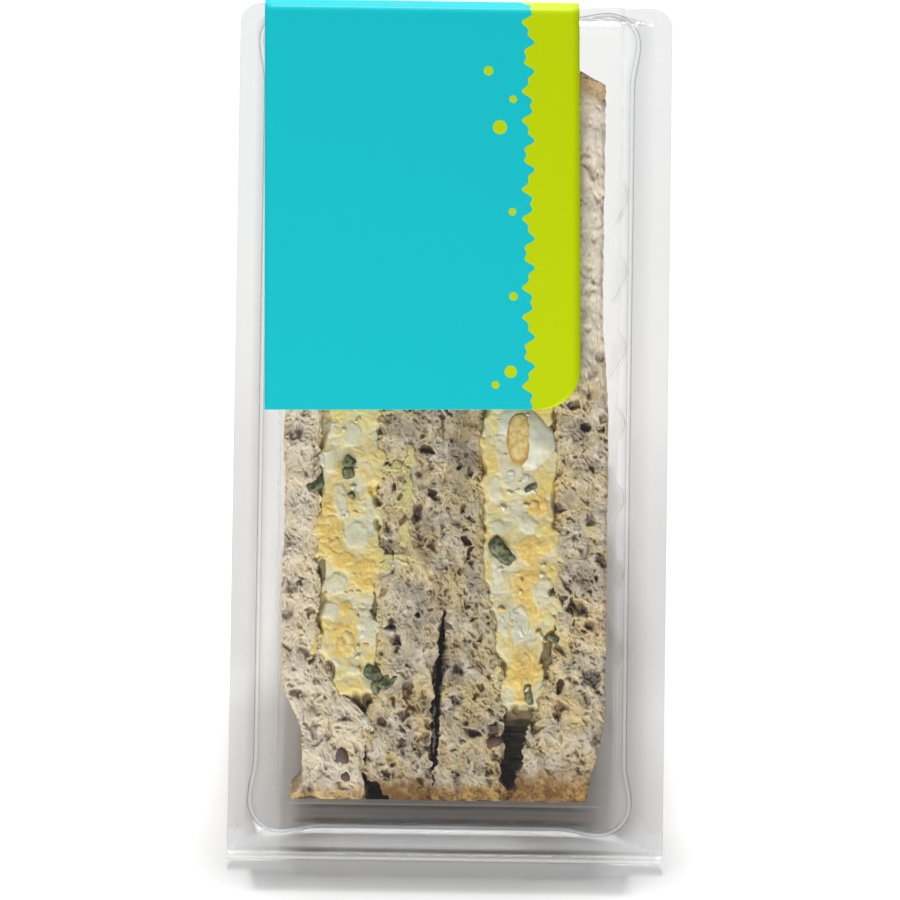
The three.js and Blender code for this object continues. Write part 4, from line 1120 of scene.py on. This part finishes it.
def streaks(x, y):
    """Painted dark streaks: a sum of bells exp(-((y - centre) / width)^2), wavy, fading out at both ends.
    """
    wave = 0.25 * noise(np.stack([x / 9, y / 2, 0 * x], axis=-1), 5)
    dark = 0
    for centre, width, strength in STREAKS:
        dark = dark + strength * np.exp(-(((y + wave - centre) / width) ** 2))
    dark = dark * smoothstep((x - STREAKS_LEFT) / STREAKS_FADE)
    return dark * smoothstep((STREAKS_RIGHT - x) / STREAKS_FADE)


tray_rows = tray_skin(0)
front_x, front_y, front_z = np.moveaxis(tray_rows, -1, 0)
on_front = front_z > -0.01
# A painted highlight along the opening's rim, most on the left, and along the flutes on the right
right_rim = OPENING_RIGHT + flute_reach(front_y, 0, 0)
left_glint, right_glint, low_glint = RIM_GLINTS
rim = left_glint * (np.abs(front_x - OPENING_LEFT) < RIM_WIDTH)
rim = rim + right_glint * (np.abs(front_x - right_rim) < RIM_WIDTH)
rim = rim * (front_z > -0.2) * (front_y > OPENING_BOTTOM + TRAY_CORNER_RADIUS)
below = (np.abs(front_y - OPENING_BOTTOM) < 0.1) * (front_x > OPENING_LEFT + 2)
rim = rim + low_glint * below * (front_x < OPENING_RIGHT - 2)
tray_line = flange_tone_and_shade(front_x, front_y) + streaks(front_x, front_y) * (front_y < OPENING_BOTTOM)
strip_shade, strip_from, strip_blend = STRIP_SHADE
in_strip = (front_x <= OPENING_LEFT) * (front_x > PANEL_MIDDLE - PANEL_HALF_WIDTH)
tray_line = tray_line + strip_shade * in_strip * smoothstep((front_y - strip_from) / strip_blend)
tray_line = tray_line * on_front
# Painted shade darkens its walls a little more than its front, most in the flutes, whose rims get painted
# lines
fluted = np.clip((front_x - OPENING_RIGHT) / FLUTE_DEPTH, 0, 1) * (front_x < right_rim + RIM_WIDTH)
tray_line = tray_line + LEFT_WALL_SHADE * (front_x == OPENING_LEFT) * ~on_front
tray_line = (tray_line + fluted * np.where(on_front, FLUTE_FRONT_LINE, FLUTE_WALL_LINE)).ravel()
tray_values = {"glint": np.tile(rim.ravel(), 2), "line": np.append(tray_line, 0 * tray_line)}
tray_material = clear_plastic("clear_tray", 0.94)
tray_shape = skins_shape(tray_rows, tray_skin(TRAY_WALL))
tray = add_piece("tray_sheet", tray_shape, tray_material, ["tray"], tray_values)
clean(tray)
tray.data.set_sharp_from_angle(angle=np.radians(FLAT_EDGE_ANGLE))

# Lid
# Clear plastic, pressed from a thinner sheet: a flange, a raised panel with swelling corners, a curled
# lip below. It is a stack of closed outlines from the middle of its underside, round the edge, to the
# middle of its front.
LID_WALL = 0.45
LID_GAP = 0.3
PANEL = (-40.8, 38.2, 7, 179.6)
PANEL_RISE = 3.6
PANEL_CORNER_RADIUS = 7
PANEL_SWELL = 1.2
SWELL_BLEND = 9
LIP_WIDTH = 2.6
FLANGE_BOTTOM_RADIUS = 0.8
CORNER_STEPS = 14
BLEND_STEPS = 8
SIDE_STEPS = 40
PANEL_EDGE = (
    (0, 0), (0.06, 0.05), (0.13, 0.16), (0.2, 0.36), (0.3, 0.75), (0.5, 1.6), (0.75, 2.75),
    (0.83, 3.05), (0.92, 3.28), (1.04, 3.46), (1.2, 3.56), (1.42, 3.6), (2.4, 3.6),
)
LIP_INSETS = (0, 0.08, 0.25, 0.55, 1, 1.6, 2.2, 2.6, 3.4)


def swollen_outline(sides, radius, swell, inset):
    """A closed outline: round corners that stand out by the swell, easing back to the straight sides."""
    left, right, bottom, top = sides
    round_radius = max(radius - inset, 0.05)
    corners = (
        (right - inset, bottom + inset, 1, -1, -0.5),
        (right - inset, top - inset, 1, 1, 0),
        (left + inset, top - inset, -1, 1, 0.5),
        (left + inset, bottom + inset, -1, -1, 1),
    )
    step = np.arange(1, BLEND_STEPS + 1)[:, None]
    share = np.linspace(0, 1, SIDE_STEPS + 2)[1:-1, None]
    away = round_radius - swell + SWELL_BLEND * step / BLEND_STEPS
    offset = swell * (1 - smoothstep(step / BLEND_STEPS))
    angle = np.linspace(0, np.pi / 2, CORNER_STEPS + 1)
    parts = []
    for index, (x, y, side_x, side_y, start) in enumerate(corners):
        upright, level = np.array([0, -side_y]), np.array([-side_x, 0])
        along, out = (upright, -level) if index % 2 == 0 else (level, -upright)
        before, before_out = (level, -upright) if index % 2 == 0 else (upright, -level)
        corner = np.array([x, y])
        centre = corner + np.array([side_x, side_y]) * (swell - round_radius)
        turned = angle + start * np.pi
        arc = centre + round_radius * np.stack([np.cos(turned), np.sin(turned)], axis=-1)
        blended = (corner + away * before + offset * before_out)[::-1]
        parts.append(np.concatenate([blended, arc, corner + away * along + offset * out]))
    sides = [part[-1] + (parts[(index + 1) % 4][0] - part[-1]) * share for index, part in enumerate(parts)]
    return np.concatenate([points for pair in zip(parts, sides) for points in pair])


def flange_outline(inset):
    """The flange's edge: wide round corners at the top and small ones at the bottom."""
    sides = (-FLANGE_HALF_WIDTH, FLANGE_HALF_WIDTH, 0, FLANGE_HEIGHT)
    outline = swollen_outline(sides, FLANGE_TOP_RADIUS, 0, inset)
    square = swollen_outline(sides, FLANGE_BOTTOM_RADIUS, 0, inset)
    return np.where(outline[:, 1:] < FLANGE_HEIGHT / 2, square, outline)


def flange_ring(inset, underside):
    """One ring of the flange, curled back near its foot: 1 - sqrt(1 - r^2) of the way to the lip's end."""
    reference = flange_outline(inset)
    outline = flange_outline(inset + LID_WALL) if underside else reference
    level = LID_GAP if underside else LID_GAP + LID_WALL
    reach = np.clip((LIP_WIDTH - reference[:, 1]) / LIP_WIDTH, 0, 1)
    curl = 1 - np.sqrt(1 - reach**2)
    return np.column_stack([outline, level + (LIP_END - level) * curl])


def panel_ring(inset, rise, underside):
    """One ring of the raised panel's edge, on the front or on the underside."""
    wall = LID_WALL if underside else 0
    outline = swollen_outline(PANEL, PANEL_CORNER_RADIUS, PANEL_SWELL, inset + wall)
    level = rise + LID_GAP + LID_WALL - wall
    return np.column_stack([outline, np.full(len(outline), level)])


inner_rings = [panel_ring(*step, True) for step in PANEL_EDGE[::-1]]
inner_rings += [flange_ring(inset, True) for inset in LIP_INSETS[::-1]]
outer_rings = [flange_ring(inset, False) for inset in LIP_INSETS]
outer_rings += [panel_ring(*step, False) for step in PANEL_EDGE]
lid_rings = np.array(inner_rings + outer_rings)
# Painted dark lines and painted highlights on each ring of the panel's edge, from its foot inwards
EDGE_LINE = [0.25, 0.6, 0.75, 0.7, 0.4, 0.1, 0, 0.05, 0.1, 0.26, 0.4, 0.15, 0]
EDGE_GLINT = [0, 0, 0, 0, 0.1, 0.25, 0.2, 0.1, 0, 0, 0, 0, 0]
# Height up the face and brightness of the lip's painted highlight, and of the painted reflection on the
# strip above it
LIP_SHINE = (0.7, 0.4)
STRIP_GLINT = 0.36
STRIP_BOTTOM, STRIP_TOP, STRIP_EDGE = 2.4, 7, 0.8
BAND_WIDTH = 0.35
# Height and darkness of the line between the two, and its middle, its half length and its fading ends
LIP_SHADOW = (2.3, 0.4)
LIP_SHADOW_MIDDLE, LIP_SHADOW_HALF, LIP_SHADOW_FADE = -2, 34, 8
plain = [0] * (2 * len(LIP_INSETS) + len(PANEL_EDGE))
lid_x, lid_y = lid_rings[..., 0], lid_rings[..., 1]
lid_line = np.array(plain + EDGE_LINE)[:, None] + 0 * lid_x
lid_glint = np.array(plain + EDGE_GLINT)[:, None] + 0 * lid_x


def lip_band(line):
    """A bell exp(-((y - centre) / width)^2) times its strength, along the bottom of the lid."""
    centre, strength = line
    return strength * np.exp(-(((lid_y - centre) / BAND_WIDTH) ** 2))


# Painted reflection: the strip between lip and panel mirrors a bright room, in streaks along it
shimmer = 0.8 + 0.35 * noise(np.stack([lid_x / 11, lid_y / 1.1, 0 * lid_x], axis=-1), 8)
strip = smoothstep((lid_y - STRIP_BOTTOM) / STRIP_EDGE) * smoothstep((STRIP_TOP - lid_y) / STRIP_EDGE)
strip = STRIP_GLINT * shimmer * strip
patchy = 1 + 0.5 * noise(np.stack([lid_x / 7, 0 * lid_x, 0 * lid_x], axis=-1), 12)
past_end = np.abs(lid_x - LIP_SHADOW_MIDDLE) - LIP_SHADOW_HALF
lip_shadow = lip_band(LIP_SHADOW) * smoothstep(-past_end / LIP_SHADOW_FADE) * patchy
lid_values = {"line": lid_line + lip_shadow, "glint": lid_glint + lip_band(LIP_SHINE) + strip}
lid_material = clear_plastic("clear_lid", 0.95)
add_rings("lid_sheet", lid_rings, lid_material, ["lid"], lid_values)

# Label
# A printed paper label, smooth and slightly glossy, stuck on the lid, folded over its top edge and down
# the back. Both sides are grids along its path; its print is drawn from millimetres across and along.
LABEL_LEFT, LABEL_RIGHT = -39.4, 27.3
LABEL_THICKNESS = 0.25
LABEL_SLANT = 0.0152
LABEL_CORNER_RADIUS = 8.5
LABEL_BACK_LENGTH = 26
LABEL_EDGE_GAP = 0.6
LABEL_LANDING = 9.5


def label_path():
    """y and z along the label: flat on the panel, over the edge, then down to the back wall."""
    front = LID_GAP + LID_WALL + PANEL_RISE + LID_GAP
    edge = FLANGE_HEIGHT + LABEL_EDGE_GAP
    back = OPENING_TOP + TRAY_WALL * SQRT2 + LID_GAP * SQRT2
    landing = back - LABEL_LANDING
    level = landing - back
    drop = LABEL_BACK_LENGTH / SQRT2
    t = np.linspace(0, 1, 9)[1:, None]
    top = PANEL[3]

    def bend(start, middle, end):
        return (1 - t) ** 2 * np.array(start) + 2 * t * (1 - t) * np.array(middle) + t**2 * np.array(end)

    corners = np.concatenate(
        [
            [[LABEL_BOTTOM, front], [top + 0.4, front]],
            bend((top + 0.4, front), (top + 1, front), (top + 1.3, front - 0.6)),
            [[edge - 0.3, 1.5]],
            bend((edge - 0.3, 1.5), (edge, 1), (edge, 0.4)),
            [[edge, -0.6]],
            bend((edge, -0.6), (edge, -1.2), (edge - 1, -1.9)),
            [[landing + 1, level + 0.8]],
            bend((landing + 1, level + 0.8), (landing, level), (landing - 1, level - 1)),
            [[landing - drop, level - drop]],
        ]
    )
    length = np.append(0, np.cumsum(np.linalg.norm(np.diff(corners, axis=0), axis=1)))
    corner_rows = LABEL_CORNER_RADIUS * (1 - np.cos(np.linspace(0, np.pi / 2, 13)))
    straight_rows = np.arange(LABEL_CORNER_RADIUS + 1, length[-1] - 0.5, 0.5)
    stations = np.concatenate([corner_rows, straight_rows, [length[-1]]])
    return stations, np.stack([np.interp(stations, length, corners[:, i]) for i in range(2)], axis=-1)


def label_shape():
    """The label's two faces, LABEL_THICKNESS apart and joined round the edge, and their print's places."""
    stations, path = label_path()
    tangent = np.gradient(path, axis=0)
    tangent /= np.linalg.norm(tangent, axis=1)[:, None]
    short = np.maximum(LABEL_CORNER_RADIUS - stations, 0)
    cut = LABEL_CORNER_RADIUS - np.sqrt(LABEL_CORNER_RADIUS**2 - short**2)
    across = np.linspace(0, 1, 40)
    flat_x = LABEL_LEFT + (LABEL_RIGHT - cut - LABEL_LEFT)[:, None] * across
    front_length = FLANGE_HEIGHT - LABEL_BOTTOM
    x = flat_x - LABEL_SLANT * np.minimum(stations, front_length)[:, None]
    straightened = np.maximum(1 - stations / front_length, 0)[:, None]
    rise = LABEL_SLANT * (flat_x - (LABEL_LEFT + LABEL_RIGHT) / 2) * straightened
    sides = []
    for lift in (LABEL_THICKNESS, 0):
        y = (path[:, 0] - lift * tangent[:, 1])[:, None] + rise
        z = (path[:, 1] + lift * tangent[:, 0])[:, None] + 0 * x
        sides.append(np.stack([x, y, z], axis=-1))
    along = stations[:, None] + 0 * x
    values = {"across": np.tile(flat_x.ravel(), 2), "along": np.tile(along.ravel(), 2)}
    return skins_shape(*sides), values


label_finish = {"Roughness": 0.5, "Specular IOR Level": 0.15}
label_material, label_shader, label = new_material("label_paper", label_finish)
across = label.value("across")
along = label.value("along")


def dot(centre_x, centre_y, radius):
    """1 inside a circle and 0 outside: 1 - step of sqrt(dx^2 + dy^2) - r."""
    dx = across - centre_x
    dy = along - centre_y
    away = (dx * dx + dy * dy) ** 0.5
    return 1 - (away - radius).step(-PRINT_BLUR, PRINT_BLUR)


BAND_START = 16.4
# Half the width in mm over which one printed colour turns into the other
PRINT_BLUR = 0.06
TURQUOISE = colour(22, 201, 211)
LIME = colour(198, 221, 0)
scallop = 0.9 * along.math("SINE", along * 0.9) + 0.5 * along.math("SINE", along * 2.1 + 1)
band = (across - scallop).step(BAND_START - PRINT_BLUR, BAND_START + PRINT_BLUR)
print_colour = band.mix(TURQUOISE, LIME)
# Dots beside the band: across and along the label, and radius
DOTS = (
    (12.6, 8, 1.3), (9.4, 5.2, 0.8), (13.2, 24, 0.9), (10.4, 60, 1.5), (13.2, 66, 0.8), (8, 72, 1),
    (13, 42, 0.8),
)
for place in DOTS:
    print_colour = dot(*place).mix(print_colour, LIME)
link(label_shader, "Base Color", print_colour)
shape, values = label_shape()
add_piece("label_sheet", shape, label_material, ["label"], values)

# Floor and light
# A plain white table, a light high behind the pack that throws its shadow forwards, a wide soft one low
# in front of it, and a little even light all round.
floor_mesh = bpy.data.meshes.new("floor")
floor_mesh.from_pydata([(-3, -3, 0), (3, -3, 0), (3, 3, 0), (-3, 3, 0)], [], [(0, 1, 2, 3)])
floor_material, _, _ = new_material("floor", {"Base Color": (0.94, 0.94, 0.94, 1), "Roughness": 0.9})
floor_mesh.materials.append(floor_material)
floor = bpy.data.objects.new("floor", floor_mesh)
bpy.context.scene.collection.objects.link(floor)

world = bpy.data.worlds.new("world")
world.use_nodes = True
world.node_tree.nodes["Background"].inputs["Color"].default_value = (1, 1, 1, 1)
world.node_tree.nodes["Background"].inputs["Strength"].default_value = 0.12
bpy.context.scene.world = world


def area_light(name, place, target, size, power):
    """A soft light at a place, turned to face the target; its size is its width and height."""
    data = bpy.data.lights.new(name, "AREA")
    data.shape = "RECTANGLE"
    data.size, data.size_y = size
    data.energy = power
    lamp = bpy.data.objects.new(name, data)
    lamp.location = place
    lamp.rotation_euler = (Vector(target) - Vector(place)).to_track_quat("-Z", "Y").to_euler()
    bpy.context.scene.collection.objects.link(lamp)


area_light("behind", (-0.04, 2.2, 1.98), (0, -0.07, 0), (0.6, 0.19), 118)
area_light("front", (-0.3, -1.5, 0.33), (0, 0, 0.06), (1.4, 0.4), 25)

# Camera
# The photograph looks up the sloping front from slightly below its normal, turned a little on its own axis.
CAMERA_ELEVATION = np.radians(47.2)
CAMERA_DISTANCE = 0.95
CAMERA_ROLL = np.radians(0.82)
TARGET = to_row(np.array([-0.11, 87.25, 0.0]))
FRAME_WIDTH = 0.1909
camera_data = bpy.data.cameras.new("camera")
camera_data.sensor_width = 36
camera_data.lens = 36 * CAMERA_DISTANCE / FRAME_WIDTH
camera = bpy.data.objects.new("camera", camera_data)
back = Vector((0, -np.cos(CAMERA_ELEVATION), np.sin(CAMERA_ELEVATION)))
camera.location = Vector(TARGET) + back * CAMERA_DISTANCE
turn = (-back).to_track_quat("-Z", "Y").to_matrix().to_4x4() @ Matrix.Rotation(CAMERA_ROLL, 4, "Z")
camera.rotation_euler = turn.to_euler()
bpy.context.scene.collection.objects.link(camera)
bpy.context.scene.camera = camera
bpy.context.scene.view_settings.view_transform = "Standard"
bpy.context.scene.cycles.transparent_max_bounces = 24
